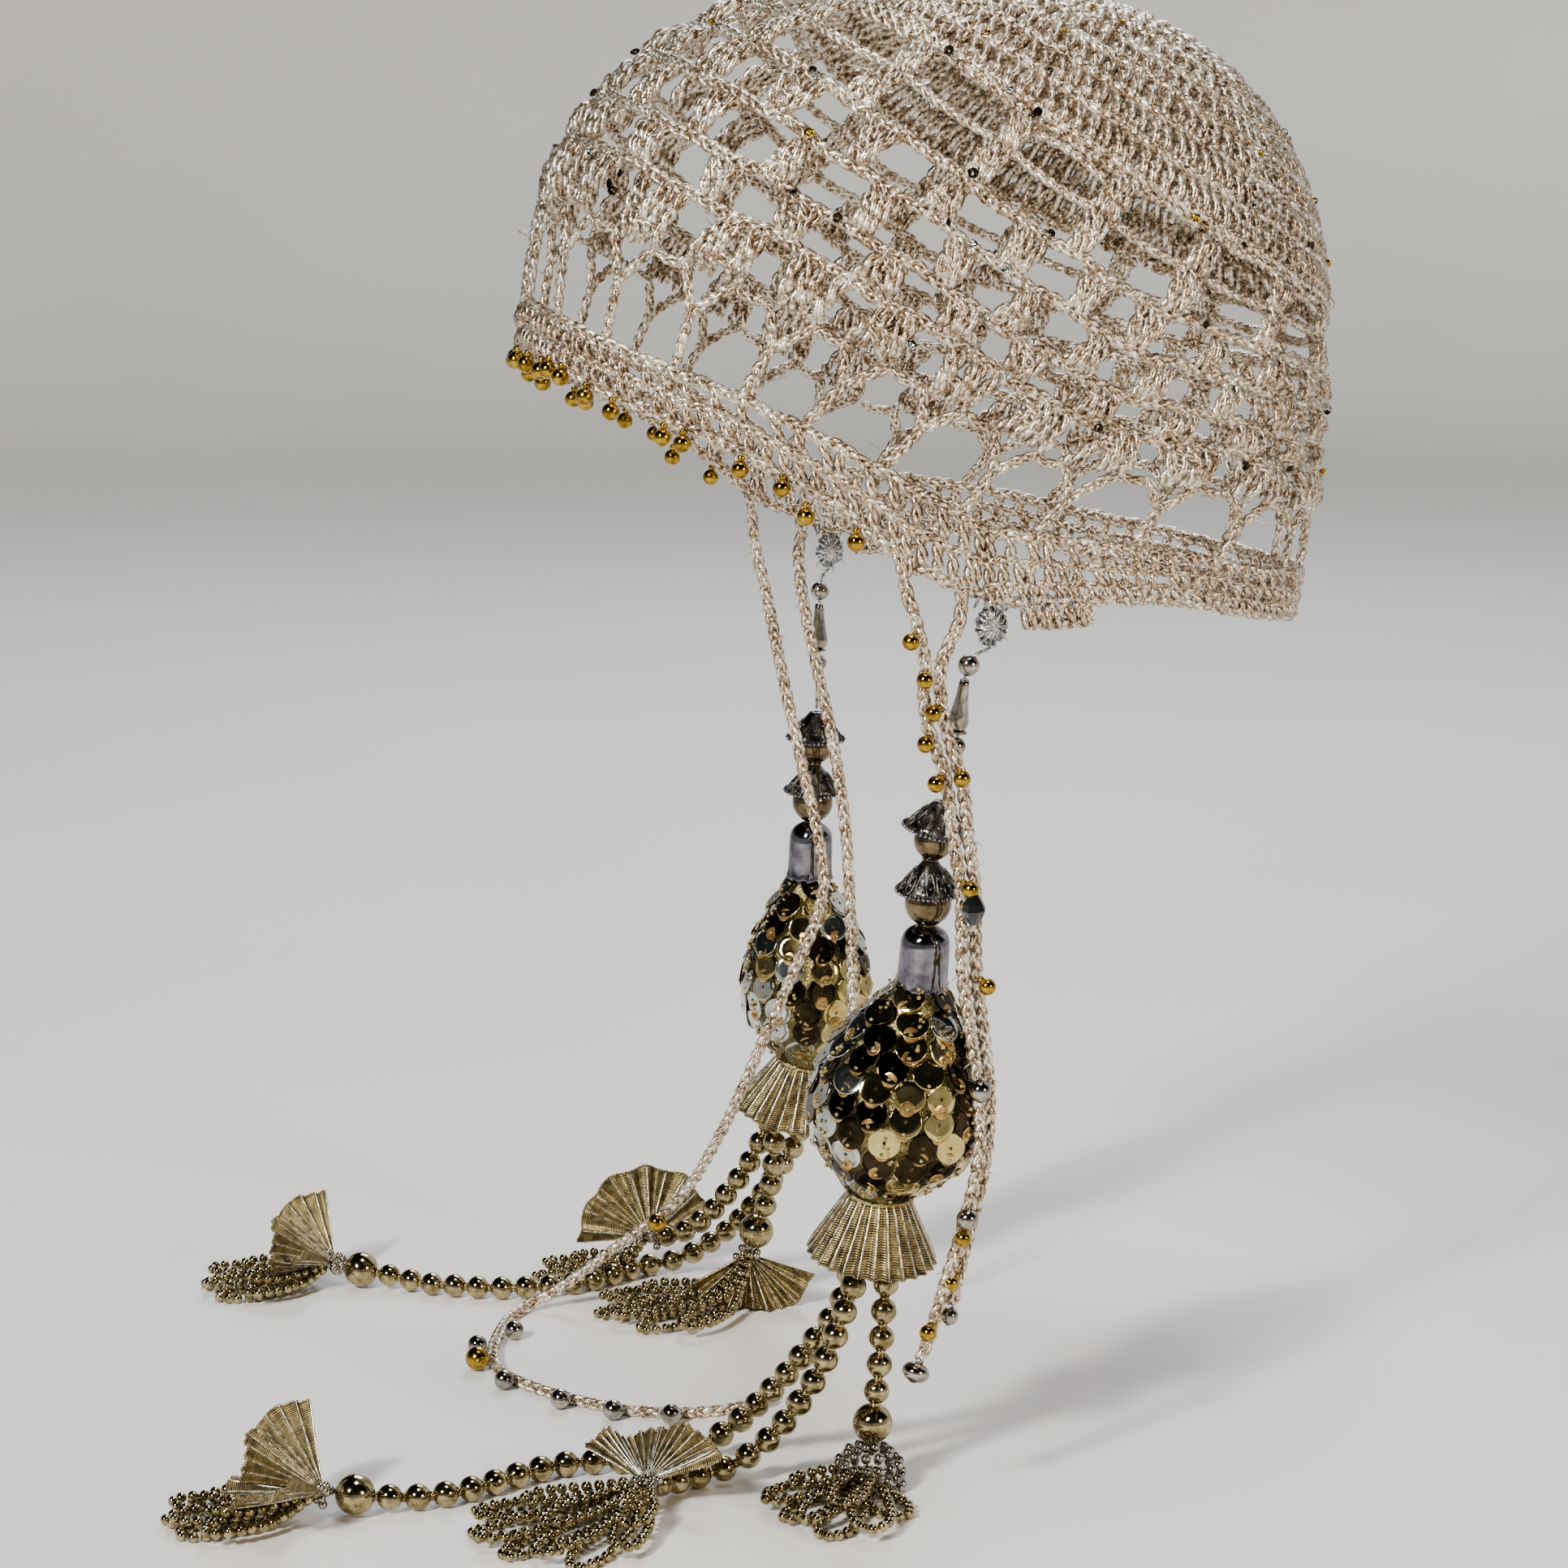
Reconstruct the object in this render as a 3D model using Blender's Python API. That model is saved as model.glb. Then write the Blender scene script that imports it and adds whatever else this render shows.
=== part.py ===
"""Crochet headpiece: a net cap with bands, two pairs of tie cords and two sequinned drops.

Metres, +Z up. The wearer looks along -Y and the wearer's left side is +X.
The origin is the inside of the crown, where the cap sits on a head.
"""
import math

import bmesh
import bpy
from mathutils import Vector

for old in list(bpy.data.objects):
    bpy.data.objects.remove(old, do_unlink=True)

MM = 0.001
SEAT_GAP = 0.3 * MM          # clearance between two pieces that touch

# Cap, measured on the inside of the yarn
CAP_HALF_LENGTH = 97.8 * MM
CAP_HALF_WIDTH = 76.7 * MM
CROWN_RISE = 87.5 * MM       # from the widest level up to the crown
LOWER_REACH = 190.0 * MM     # how far down the sides would run before they close
CAP_DROP = 154.0 * MM        # from the crown down to the lowest edge, at the nape
YARN_WALL = 2.6 * MM
PLAN_POWER = 2.2
UPPER_POWER = 2.45
LOWER_POWER = 2.0

# Rounds of the net, worked from a pole at the back of the crown
CROWN_TILT = math.radians(39.8)
PATCH_REACH = math.radians(52.0)     # dense patch, from its pole to its edge
PATCH_LEAN = math.radians(7.0)       # how much further it reaches at the front
FAN_COUNT = 17                       # wide openings next to the patch
SHELL_COUNT = 26                     # openings in each of the other rounds
PATCH_RINGS = ((0.25, 12), (0.52, 24), (0.78, 36))   # share of the reach, points

# Rounds with openings: first and last share of the way from patch to band,
# how wide the opening is as a share of its pitch, and its shift in pitches
FAN_ROUND = dict(start=0.02, end=0.245, width=0.80, shift=0.5)
SHELL_ROUNDS = (
    dict(start=0.285, end=0.370, width=0.52, shift=0.0),
    dict(start=0.412, end=0.505, width=0.60, shift=0.5),
    dict(start=0.540, end=0.612, width=0.52, shift=0.0),
)
ARCH_ROUND = dict(start=0.775, waist=0.875, end=0.965, width=0.46, waist_width=0.76, shift=0.5)

# Edge of the cap: turn from the front in degrees, then the upper and lower edge
# of the band as shares of the cap's drop
BRIM = (
    dict(turn=0, top=0.477, bottom=0.565),
    dict(turn=15, top=0.500, bottom=0.580),
    dict(turn=30, top=0.544, bottom=0.629),
    dict(turn=45, top=0.594, bottom=0.688),
    dict(turn=60, top=0.664, bottom=0.773),
    dict(turn=72, top=0.727, bottom=0.868),
    dict(turn=85, top=0.795, bottom=0.912),
    dict(turn=105, top=0.821, bottom=0.912),
    dict(turn=120, top=0.842, bottom=0.920),
    dict(turn=140, top=0.884, bottom=0.957),
    dict(turn=160, top=0.913, bottom=0.987),
    dict(turn=180, top=0.922, bottom=1.000),
)
BAND_SPLIT = 85.0            # turn where the front band meets the nape band
CORNER_ROOM = 1.5            # least turn between two corners of a band
FLAP_START = 92.5            # turns between which the small flap hangs
FLAP_END = 106.5
FLAP_DROP = 5.5 * MM
KNOT_TURN = 86.6             # darned knot under the band, which carries the drop
KNOT_LENGTH = 9.0 * MM
KNOT_WIDTH = 7.0 * MM
KNOT_DEPTH = 4.4 * MM

# Tie cords and what is sewn to them
CORD_DIAMETER = 3.0 * MM
TIE_BEAD = 5.4 * MM
GOLD_BEAD = 6.6 * MM
CRYSTAL_LENGTH = 7.0 * MM
CRYSTAL_WIDTH = 6.0 * MM
END_BALL = 4.4 * MM
WIDE_END_BALL = 6.8 * MM

# Drops
CHAIN_THREAD = 1.0 * MM
CHAIN_BALL = 5.1 * MM
CHAIN_TEARDROP = 12.0 * MM
CHAIN_SMALL_BALL = 4.6 * MM
CHAIN_THREAD_TOP = 4.6 * MM
CHAIN_THREAD_LOW = 11.0 * MM
FILIGREE_WIDTH = 15.6 * MM
FILIGREE_HEIGHT = 7.6 * MM
FILIGREE_WALL = 0.7 * MM
FILIGREE_TUCK = 2.6 * MM     # how far the ball below sits up in its cap
UPPER_BALL = 9.6 * MM
LOWER_BALL = 11.2 * MM
BELL_WIDTH = 12.4 * MM
BELL_HEIGHT = 15.6 * MM
BELL_WALL = 0.8 * MM
BELL_TUCK = 3.4 * MM         # how far the body's neck sits up in the bell
BODY_HEIGHT = 56.5 * MM
NEAR_BODY_WIDTH = 41.5 * MM
FAR_BODY_WIDTH = 34.0 * MM
SKIRT_HEIGHT = 16.5 * MM
SKIRT_TOP_WIDTH = 14.0 * MM
SKIRT_WIDTH = 31.0 * MM
SKIRT_WALL = 0.8 * MM
SKIRT_PLEATS = 16
PLEAT_DEPTH = 0.7 * MM
HUB_WIDTH = 9.4 * MM         # thread knot under the body, inside the skirt
HUB_HEIGHT = 6.0 * MM

# Strings of beads and their tassels
STRING_BEAD = 6.6 * MM
STRING_LEAD = 2.0 * MM       # how far a string runs straight down from its hub
LARGE_BEAD = 10.0 * MM       # at the end of a string
HEAD_TIP_WIDTH = 5.0 * MM    # pleated head of a tassel, where it is gathered
HEAD_WALL = 0.9 * MM
HEAD_RECESS = 2.4 * MM       # how deep its mouth is
LOOP_WIDTH = 6.0 * MM
LOOP_HEIGHT = 3.2 * MM
LOOP_REACH = 60.0 * MM        # further than any loop reaches from its head
LOOP_ROOT = 0.45              # how far down the head its loops start
LOOP_SECTIONS = ((0.0, 0.6), (0.45, 1.0), (0.8, 1.0), (1.0, 0.6))
HEAD_LIFT = 0.6 * MM          # pleats stay this far above the surface
SURFACE = -364.0 * MM        # level on which the strings' ends lie

# Sides of the round pieces
BEAD_SIDES = 10
CHAIN_SIDES = 8
TURNED_SIDES = 12
BODY_SIDES = 16

# Routes in millimetres, chosen by hand along what the photo shows
NEAR_TIE_FRONT = (
    (74.8, -25.8, -134.7), (76.6, -25.1, -138.8), (77.5, -23.7, -143.6), (77.8, -22.4, -148.9),
    (78.2, -21.6, -154.0), (78.6, -22.0, -160.0), (78.8, -21.2, -166.7), (79.0, -19.4, -172.8),
    (79.2, -17.2, -178.9), (79.2, -15.8, -185.8), (78.9, -15.1, -191.7), (78.3, -13.8, -198.6),
    (77.3, -12.2, -208.2), (76.4, -11.6, -218.6), (76.0, -11.1, -228.8), (75.9, -9.4, -240.8),
    (75.8, -7.4, -253.1), (75.8, -6.5, -265.3), (75.6, -7.0, -275.5), (75.4, -9.1, -285.4),
    (75.4, -11.9, -295.2), (75.4, -14.4, -303.0), (75.6, -16.6, -310.2), (75.9, -18.8, -317.0),
    (76.1, -21.0, -322.6),
)
NEAR_TIE_REAR = (
    (75.0, -11.8, -140.4), (76.8, -13.4, -145.4), (78.0, -16.0, -149.6), (78.9, -17.8, -153.8),
    (79.3, -18.2, -159.8), (79.5, -17.3, -166.7), (79.4, -15.5, -172.9), (79.3, -13.4, -179.0),
    (79.0, -12.0, -185.8), (78.5, -11.3, -191.7), (77.8, -10.1, -198.7), (76.4, -8.5, -208.1),
    (74.9, -7.9, -218.4), (73.9, -7.2, -228.5), (73.2, -5.5, -240.4), (72.8, -3.9, -252.5),
    (72.5, -3.2, -264.6), (72.3, -4.0, -274.6), (72.1, -5.9, -284.5), (72.1, -8.3, -294.3),
    (72.3, -10.6, -303.1), (72.6, -12.2, -310.6),
)
FAR_TIE_FRONT = (
    (-74.8, -25.8, -134.7), (-76.4, -24.6, -144.0), (-75.4, -22.0, -156.0), (-72.0, -19.5, -172.0),
    (-67.8, -17.0, -188.0), (-64.2, -14.0, -205.0), (-61.6, -11.0, -220.0), (-60.0, -9.5, -235.1),
    (-59.5, -13.4, -248.6), (-59.5, -18.6, -259.6), (-60.0, -23.7, -271.4), (-62.0, -28.5, -283.6),
    (-66.0, -33.9, -298.5), (-71.0, -38.0, -309.7), (-77.0, -41.4, -319.4), (-83.4, -45.2, -327.6),
    (-89.0, -50.0, -334.3), (-94.0, -55.0, -339.8), (-98.0, -60.4, -345.2), (-101.2, -66.0, -350.6),
    (-103.6, -71.6, -355.4), (-104.8, -78.0, -359.6), (-103.4, -85.0, -362.2), (-93.6, -92.0, -362.5),
    (-78.6, -97.7, -362.5), (-65.4, -100.8, -362.5), (-53.6, -100.9, -362.5), (-43.4, -97.3, -362.5),
    (-34.2, -91.8, -362.5), (-25.0, -84.6, -362.5), (-16.8, -76.0, -362.5), (-11.4, -66.6, -362.5),
    (-9.2, -56.8, -362.5), (-9.6, -48.0, -362.5), (-12.0, -40.0, -362.5),
)
FAR_TIE_REAR = (
    (-75.0, -11.8, -140.3), (-74.8, -12.9, -148.4), (-71.6, -11.8, -162.0), (-67.2, -9.4, -178.0),
    (-63.6, -6.4, -195.0), (-61.0, -3.8, -215.0), (-60.0, -2.4, -235.4), (-59.5, -2.0, -251.1),
    (-59.5, -1.6, -264.9), (-59.5, -1.2, -277.9), (-59.5, -0.9, -292.1), (-59.5, -0.8, -305.9),
    (-59.5, -0.9, -318.0), (-59.5, -1.2, -328.0),
)
NEAR_STRING_1 = (
    (53.6, -22.9, -305.7), (53.2, -23.4, -313.4), (52.7, -23.8, -321.0),
    (52.1, -24.2, -329.0), (51.5, -24.7, -336.2), (51.0, -25.2, -341.8),
)
NEAR_STRING_2 = (
    (49.6, -30.8, -306.0), (48.0, -32.9, -315.6), (45.0, -35.6, -322.0),
    (42.0, -39.0, -328.2), (38.0, -42.1, -334.5), (33.5, -45.7, -341.1), (28.5, -49.5, -347.6),
    (23.8, -54.0, -354.0), (21.0, -59.4, -358.8), (21.0, -65.4, -360.6), (23.4, -73.1, -360.7),
    (24.8, -80.4, -360.7), (24.4, -86.9, -360.7), (23.5, -93.4, -360.7), (24.5, -100.8, -360.7),
    (27.6, -108.9, -360.7), (31.7, -116.7, -360.7), (35.2, -124.4, -360.7), (37.0, -131.4, -360.7),
    (37.2, -136.6, -360.6), (37.3, -141.8, -360.2), (37.3, -147.1, -359.3),
)
NEAR_STRING_3 = (
    (56.8, -31.4, -306.0), (55.6, -34.1, -315.2), (54.0, -35.9, -321.7),
    (52.0, -38.2, -329.1), (50.0, -41.0, -335.7), (47.5, -44.4, -342.2), (44.4, -48.2, -348.8),
    (41.0, -52.6, -354.6), (38.8, -58.2, -359.0), (38.6, -64.0, -360.6), (41.2, -70.4, -360.6),
    (45.6, -76.4, -359.6), (49.4, -81.0, -357.6),
)
FAR_STRING_1 = (
    (-84.2, -16.8, -308.0), (-85.4, -17.0, -314.5), (-87.6, -16.8, -321.0),
    (-90.2, -16.9, -327.4), (-92.2, -17.4, -332.6), (-93.7, -18.7, -337.6),
)
FAR_STRING_2 = (
    (-93.4, -15.4, -308.0), (-96.0, -19.8, -319.0), (-98.8, -23.0, -326.0),
    (-102.0, -26.6, -332.4), (-106.5, -30.6, -339.4), (-111.4, -35.0, -345.0), (-116.0, -39.4, -348.2),
    (-120.0, -43.4, -349.6),
)
FAR_STRING_3 = (
    (-88.4, -7.6, -308.0), (-94.5, -9.8, -319.0), (-101.5, -13.8, -329.5),
    (-109.0, -17.5, -339.0), (-116.0, -22.0, -347.0), (-122.5, -28.0, -354.0), (-127.0, -34.0, -358.8),
    (-128.6, -40.6, -360.6), (-127.2, -47.0, -360.7), (-123.2, -54.0, -360.7), (-119.0, -61.4, -360.7),
    (-116.8, -68.8, -360.7), (-116.0, -75.6, -360.7), (-116.2, -82.4, -360.7), (-117.2, -89.2, -360.7),
    (-119.4, -95.4, -360.7), (-122.4, -101.6, -360.7), (-125.6, -108.0, -360.7),
    (-129.6, -112.9, -360.6), (-133.0, -117.6, -360.1), (-135.4, -122.5, -359.3),
)
NEAR_DROP_LINE = (
    (73.8, -9.9, -155.4), (70.8, -12.0, -176.0), (67.4, -16.4, -199.0),
    (65.2, -16.5, -216.0), (64.0, -16.9, -221.0), (62.4, -17.6, -235.8), (55.4, -26.6, -292.0),
    (52.6, -26.0, -310.5),
)
FAR_DROP_LINE = (
    (-75.2, -6.6, -155.4), (-76.6, -6.8, -176.0), (-78.2, -7.2, -199.0),
    (-79.6, -7.6, -216.0), (-80.0, -7.7, -221.0), (-81.2, -8.0, -235.8), (-85.2, -8.8, -292.0),
    (-88.4, -13.2, -310.5),
)

# Shape of the sequinned body: share of its height, share of its half width
BODY_PROFILE = (
    dict(down=0.22, wide=0.60), dict(down=0.38, wide=0.85), dict(down=0.54, wide=0.985),
    dict(down=0.66, wide=0.99), dict(down=0.80, wide=0.84), dict(down=0.91, wide=0.56),
    dict(down=0.965, wide=0.36),
)

# Beads beside the ties: distance from the cord's upper end in millimetres, and the
# turn from the front at which the bead sits; one without a turn hangs at the end
TIE_BEADS = (
    dict(name="near_crystal", cord="near_tie_front", at=78.6, turn=110, width=CRYSTAL_WIDTH, shape="bicone"),
    dict(name="near_silver_bead", cord="near_tie_front", at=123.4, turn=80, width=TIE_BEAD, shape="ball"),
    dict(name="near_silver_ball", cord="near_tie_front", at=155.5, turn=76, width=TIE_BEAD, shape="ball"),
    dict(name="near_end_ball", cord="near_tie_rear", width=END_BALL, shape="ball"),
    dict(name="near_wide_end_ball", cord="near_tie_front", width=WIDE_END_BALL, shape="flat"),
    dict(name="far_orange_bead", cord="far_tie_front", at=216.0, turn=76, width=TIE_BEAD, shape="ball"),
    dict(name="far_silver_bead_1", cord="far_tie_front", at=291.0, turn=180, width=TIE_BEAD, shape="ball"),
    dict(name="far_silver_bead_2", cord="far_tie_front", at=303.5, turn=30, width=TIE_BEAD, shape="ball"),
    dict(name="far_gold_bead", cord="far_tie_front", at=315.5, turn=40, width=GOLD_BEAD, shape="ball"),
    dict(name="far_silver_bead_3", cord="far_tie_front", at=331.0, turn=60, width=TIE_BEAD, shape="ball"),
    dict(name="far_silver_bead_4", cord="far_tie_front", at=351.5, turn=60, width=TIE_BEAD, shape="ball"),
    dict(name="far_silver_bead_5", cord="far_tie_front", at=367.0, turn=76, width=TIE_BEAD, shape="ball"),
    dict(name="far_silver_bead_6", cord="far_tie_front", at=381.0, turn=76, width=TIE_BEAD, shape="ball"),
    dict(name="far_end_ball", cord="far_tie_front", width=END_BALL, shape="ball"),
)

# Tassels: which way the pleated head opens from the string's end, its length, its
# mouth's half width, how flat it is pressed, and where its loops of small beads end
TASSELS = (
    dict(name="near_tassel_1", string="near_string_1",
         aim=(0.4, -0.8, -8.0), length=6.4, reach=8.6, flat=1.0,
         loops=((52.0, -53.0), (68.0, -52.0), (81.0, -45.0), (85.0, -35.0), (73.0, -25.0))),
    dict(name="near_tassel_2", string="near_string_2",
         aim=(-1.0, -15.0, 3.2), length=17.0, reach=14.5, flat=0.8,
         loops=((22.0, -192.0), (31.0, -197.0), (40.0, -195.0), (49.0, -188.0))),
    dict(name="near_tassel_3", string="near_string_3",
         aim=(8.0, -12.0, 1.4), length=15.0, reach=11.6, flat=0.72,
         loops=((46.0, -124.0), (60.0, -127.0), (74.0, -123.0), (85.0, -107.0), (80.0, -94.0))),
    dict(name="far_tassel_1", string="far_string_1",
         aim=(-0.5, -1.5, -10.0), length=12.5, reach=14.0, flat=1.0,
         loops=((-110.0, -58.0), (-96.0, -66.0), (-80.0, -60.0), (-70.0, -46.0))),
    dict(name="far_tassel_2", string="far_string_2",
         aim=(-8.0, -5.4, 10.6), length=20.0, reach=15.6, flat=0.3,
         loops=((-132.0, -77.0), (-140.0, -70.0))),
    dict(name="far_tassel_3", string="far_string_3",
         aim=(-3.0, -16.0, 2.6), length=17.0, reach=14.4, flat=0.86,
         loops=((-160.0, -163.0), (-149.0, -171.0), (-137.0, -170.0), (-128.0, -161.0))),
)


def material(name, colour, metallic, roughness):
    """Make a plain Principled material in the piece's own colour."""
    made = bpy.data.materials.new(name)
    made.use_nodes = True
    shader = made.node_tree.nodes["Principled BSDF"]
    shader.inputs["Base Color"].default_value = (*colour, 1.0)
    shader.inputs["Metallic"].default_value = metallic
    shader.inputs["Roughness"].default_value = roughness
    made.diffuse_color = (*colour, 1.0)
    return made


YARN = material("metallic_yarn", (0.52, 0.44, 0.34), 0.4, 0.45)
DARNING = material("silver_thread", (0.45, 0.45, 0.47), 0.7, 0.4)
GOLD = material("gold_plate", (0.72, 0.50, 0.12), 1.0, 0.22)
PALE_GOLD = material("pale_gold_bead", (0.66, 0.60, 0.40), 1.0, 0.22)
SILVER = material("silver_bead", (0.62, 0.61, 0.60), 1.0, 0.22)
DARK_BRASS = material("dark_brass", (0.42, 0.33, 0.16), 1.0, 0.2)
FILIGREE = material("antique_filigree", (0.30, 0.28, 0.26), 1.0, 0.4)
SEQUIN = material("gold_sequin", (0.66, 0.58, 0.30), 1.0, 0.25)
LAME = material("pleated_lame", (0.60, 0.57, 0.42), 0.8, 0.4)
CRYSTAL = material("dark_crystal", (0.05, 0.05, 0.06), 0.2, 0.08)


def add_object(name, vertices, faces, surface):
    """Put a mesh in the scene as one named piece with faces pointing out; give the piece."""
    mesh = bpy.data.meshes.new(name)
    mesh.from_pydata([tuple(v) for v in vertices], [], faces)
    work = bmesh.new()
    work.from_mesh(mesh)
    if work.calc_volume(signed=True) < 0.0:
        bmesh.ops.reverse_faces(work, faces=work.faces)
    work.to_mesh(mesh)
    work.free()
    mesh.materials.append(surface)
    piece = bpy.data.objects.new(name, mesh)
    bpy.context.collection.objects.link(piece)
    mesh.shade_smooth()
    mesh.set_sharp_from_angle(angle=math.radians(40.0))
    return piece


# The cap's surface

CENTRE = Vector((0.0, 0.0, -CROWN_RISE))
POLE = Vector((0.0, math.sin(CROWN_TILT), math.cos(CROWN_TILT)))
FORWARD = Vector((0.0, -math.cos(CROWN_TILT), math.sin(CROWN_TILT)))
SIDEWAYS = Vector((1.0, 0.0, 0.0))


def plan_size(x, y):
    """Give how far out a point stands in plan, with 1 on the cap's widest line."""
    wide = abs(x / CAP_HALF_WIDTH) ** PLAN_POWER
    long = abs(y / CAP_HALF_LENGTH) ** PLAN_POWER
    return (wide + long) ** (1.0 / PLAN_POWER)


def cap_point(heading, lift):
    """Find the cap's inner surface from its centre along a heading, lifted outward."""
    power = UPPER_POWER if heading.z > 0.0 else LOWER_POWER
    rise = CROWN_RISE if heading.z > 0.0 else LOWER_REACH
    size = (plan_size(heading.x, heading.y) ** power + abs(heading.z / rise) ** power) ** (1.0 / power)
    return CENTRE + heading / size + heading.normalized() * lift


def brim_height(turn, edge):
    """Read the band's upper or lower edge at a turn from the front, as a height."""
    angle = abs(turn)
    for before, after in zip(BRIM, BRIM[1:]):
        if angle <= after["turn"]:
            break
    share = (angle - before["turn"]) / (after["turn"] - before["turn"])
    return -CAP_DROP * (before[edge] + (after[edge] - before[edge]) * share)


def side_point(turn, height, lift):
    """Find the cap's surface at a turn from the front and a height."""
    angle = math.radians(turn)
    across = Vector((math.sin(angle), -math.cos(angle), 0.0))
    level = height - CENTRE.z
    power = UPPER_POWER if level > 0.0 else LOWER_POWER
    rise = CROWN_RISE if level > 0.0 else LOWER_REACH
    reach = (1.0 - abs(level / rise) ** power) ** (1.0 / power) / plan_size(across.x, across.y)
    heading = across * reach + Vector((0.0, 0.0, level))
    return CENTRE + heading + heading.normalized() * lift


def net_heading(turn, bend):
    """Give the heading at an angle from the pole, turned from the front round it."""
    across = FORWARD * math.cos(turn) + SIDEWAYS * math.sin(turn)
    return POLE * math.cos(bend) + across * math.sin(bend)


def patch_edge(turn):
    """Give the dense patch's reach from the pole at a turn."""
    return PATCH_REACH + PATCH_LEAN * math.cos(turn)


def band_bend(turn):
    """Find the angle from the pole at which the net reaches the band's upper edge."""
    low = patch_edge(turn)
    high = math.radians(150.0)
    for _ in range(40):
        middle = (low + high) / 2.0
        point = cap_point(net_heading(turn, middle), 0.0)
        azimuth = math.degrees(math.atan2(point.x, -point.y))
        if point.z > brim_height(azimuth, "top"):
            low = middle
        else:
            high = middle
    return low


def thick_sheet(name, inner, outer, faces, surface):
    """Close a sheet of faces into a wall between its inner and outer points."""
    count = len(inner)
    solid = [tuple(face) for face in faces]
    solid += [tuple(count + index for index in reversed(face)) for face in faces]
    edges = set()
    for face in faces:
        for start, end in zip(face, face[1:] + face[:1]):
            edges.add((start, end))
    for start, end in sorted(edges):
        if (end, start) not in edges:
            solid.append((end, start, count + start, count + end))
    add_object(name, list(outer) + list(inner), solid, surface)


def zip_rings(upper, lower):
    """Bridge two rings of (turn, index) with triangles, whatever their counts."""
    faces = []
    a = b = 0
    full = 2.0 * math.pi
    while a < len(upper) or b < len(lower):
        turn_a = upper[a + 1][0] if a + 1 < len(upper) else upper[(a + 1) % len(upper)][0] + full
        turn_b = lower[b + 1][0] if b + 1 < len(lower) else lower[(b + 1) % len(lower)][0] + full
        index_a = upper[a % len(upper)][1]
        index_b = lower[b % len(lower)][1]
        if b >= len(lower) or (a < len(upper) and turn_a <= turn_b):
            faces.append((index_a, index_b, upper[(a + 1) % len(upper)][1]))
            a += 1
        else:
            faces.append((index_a, index_b, lower[(b + 1) % len(lower)][1]))
            b += 1
    return faces


class NetSheet:
    """Collect the net's points ring by ring, and the faces between them."""

    def __init__(self):
        self.inner = []
        self.outer = []
        self.faces = []

    def add(self, heading):
        """Add one point along a heading on both sides of the wall."""
        self.inner.append(cap_point(heading, 0.0))
        self.outer.append(cap_point(heading, YARN_WALL))
        return len(self.inner) - 1

    def ring(self, turns, share):
        """Add a ring of points at a share of the way from patch to band."""
        made = []
        for turn in turns:
            start = patch_edge(turn)
            bend = start + share * (band_bend(turn) - start)
            made.append((turn, self.add(net_heading(turn, bend))))
        return made

    def rows(self, upper, lower, skip, first_open):
        """Join two rings of equal count, leaving every skip-th group of faces open."""
        count = len(upper)
        for place in range(count):
            after = (place + 1) % count
            if place % skip < first_open:
                continue
            self.faces.append((upper[place][1], lower[place][1], lower[after][1], upper[after][1]))


def opening_turns(count, width, shift, middle=False):
    """Give the turns of the sides of each opening, and of its middle if asked."""
    pitch = 2.0 * math.pi / count
    turns = []
    for place in range(count):
        centre = (place + shift) * pitch
        turns.append(centre - pitch * width / 2.0)
        if middle:
            turns.append(centre)
        turns.append(centre + pitch * width / 2.0)
    return turns


def build_crown():
    """Make the dense patch and the open rounds as one pierced dome."""
    net = NetSheet()
    pole = net.add(net_heading(0.0, 0.0))
    rings = []
    for share, count in PATCH_RINGS:
        turns = [2.0 * math.pi * place / count for place in range(count)]
        rings.append([(turn, net.add(net_heading(turn, share * patch_edge(turn)))) for turn in turns])
    first = rings[0]
    for place in range(len(first)):
        net.faces.append((pole, first[place][1], first[(place + 1) % len(first)][1]))
    turns = opening_turns(FAN_COUNT, FAN_ROUND["width"], FAN_ROUND["shift"], middle=True)
    rings.append(net.ring(turns, FAN_ROUND["start"]))
    for upper, lower in zip(rings, rings[1:]):
        net.faces += zip_rings(upper, lower)
    last = net.ring(turns, FAN_ROUND["end"])
    net.rows(rings[-1], last, 3, 2)
    for row in SHELL_ROUNDS:
        turns = opening_turns(SHELL_COUNT, row["width"], row["shift"])
        upper = net.ring(turns, row["start"])
        lower = net.ring(turns, row["end"])
        net.faces += zip_rings(last, upper)
        net.rows(upper, lower, 2, 1)
        last = lower
    narrow = opening_turns(SHELL_COUNT, ARCH_ROUND["width"], ARCH_ROUND["shift"])
    wide = opening_turns(SHELL_COUNT, ARCH_ROUND["waist_width"], ARCH_ROUND["shift"])
    upper = net.ring(narrow, ARCH_ROUND["start"])
    waist = net.ring(wide, ARCH_ROUND["waist"])
    lower = net.ring(narrow, ARCH_ROUND["end"])
    net.faces += zip_rings(last, upper)
    net.rows(upper, waist, 2, 1)
    net.rows(waist, lower, 2, 1)
    edge = net.ring(narrow, 1.0)
    net.rows(lower, edge, 1, 0)
    thick_sheet("crown_net", net.inner, net.outer, net.faces, YARN)
    points = [net.inner[index] for _, index in edge]
    return [math.degrees(math.atan2(point.x, -point.y)) % 360.0 for point in points]


def build_band(name, start, end, turns, top_edge, bottom_edge):
    """Make a band of the cap between two turns, with corners at the turns between them."""
    inner = []
    outer = []
    faces = []
    between = {turn + lap for turn in turns for lap in (-360.0, 0.0)}
    corners = [turn for turn in sorted(between) if start + CORNER_ROOM < turn < end - CORNER_ROOM]
    for turn in [start] + corners + [end]:
        wrapped = turn if abs(turn) <= 180.0 else turn - math.copysign(360.0, turn)
        for height in (top_edge(wrapped), bottom_edge(wrapped)):
            inner.append(side_point(turn, height, 0.0))
            outer.append(side_point(turn, height, YARN_WALL))
    for step in range(len(corners) + 1):
        corner = 2 * step
        faces.append((corner, corner + 1, corner + 3, corner + 2))
    thick_sheet(name, inner, outer, faces, YARN)


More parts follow.
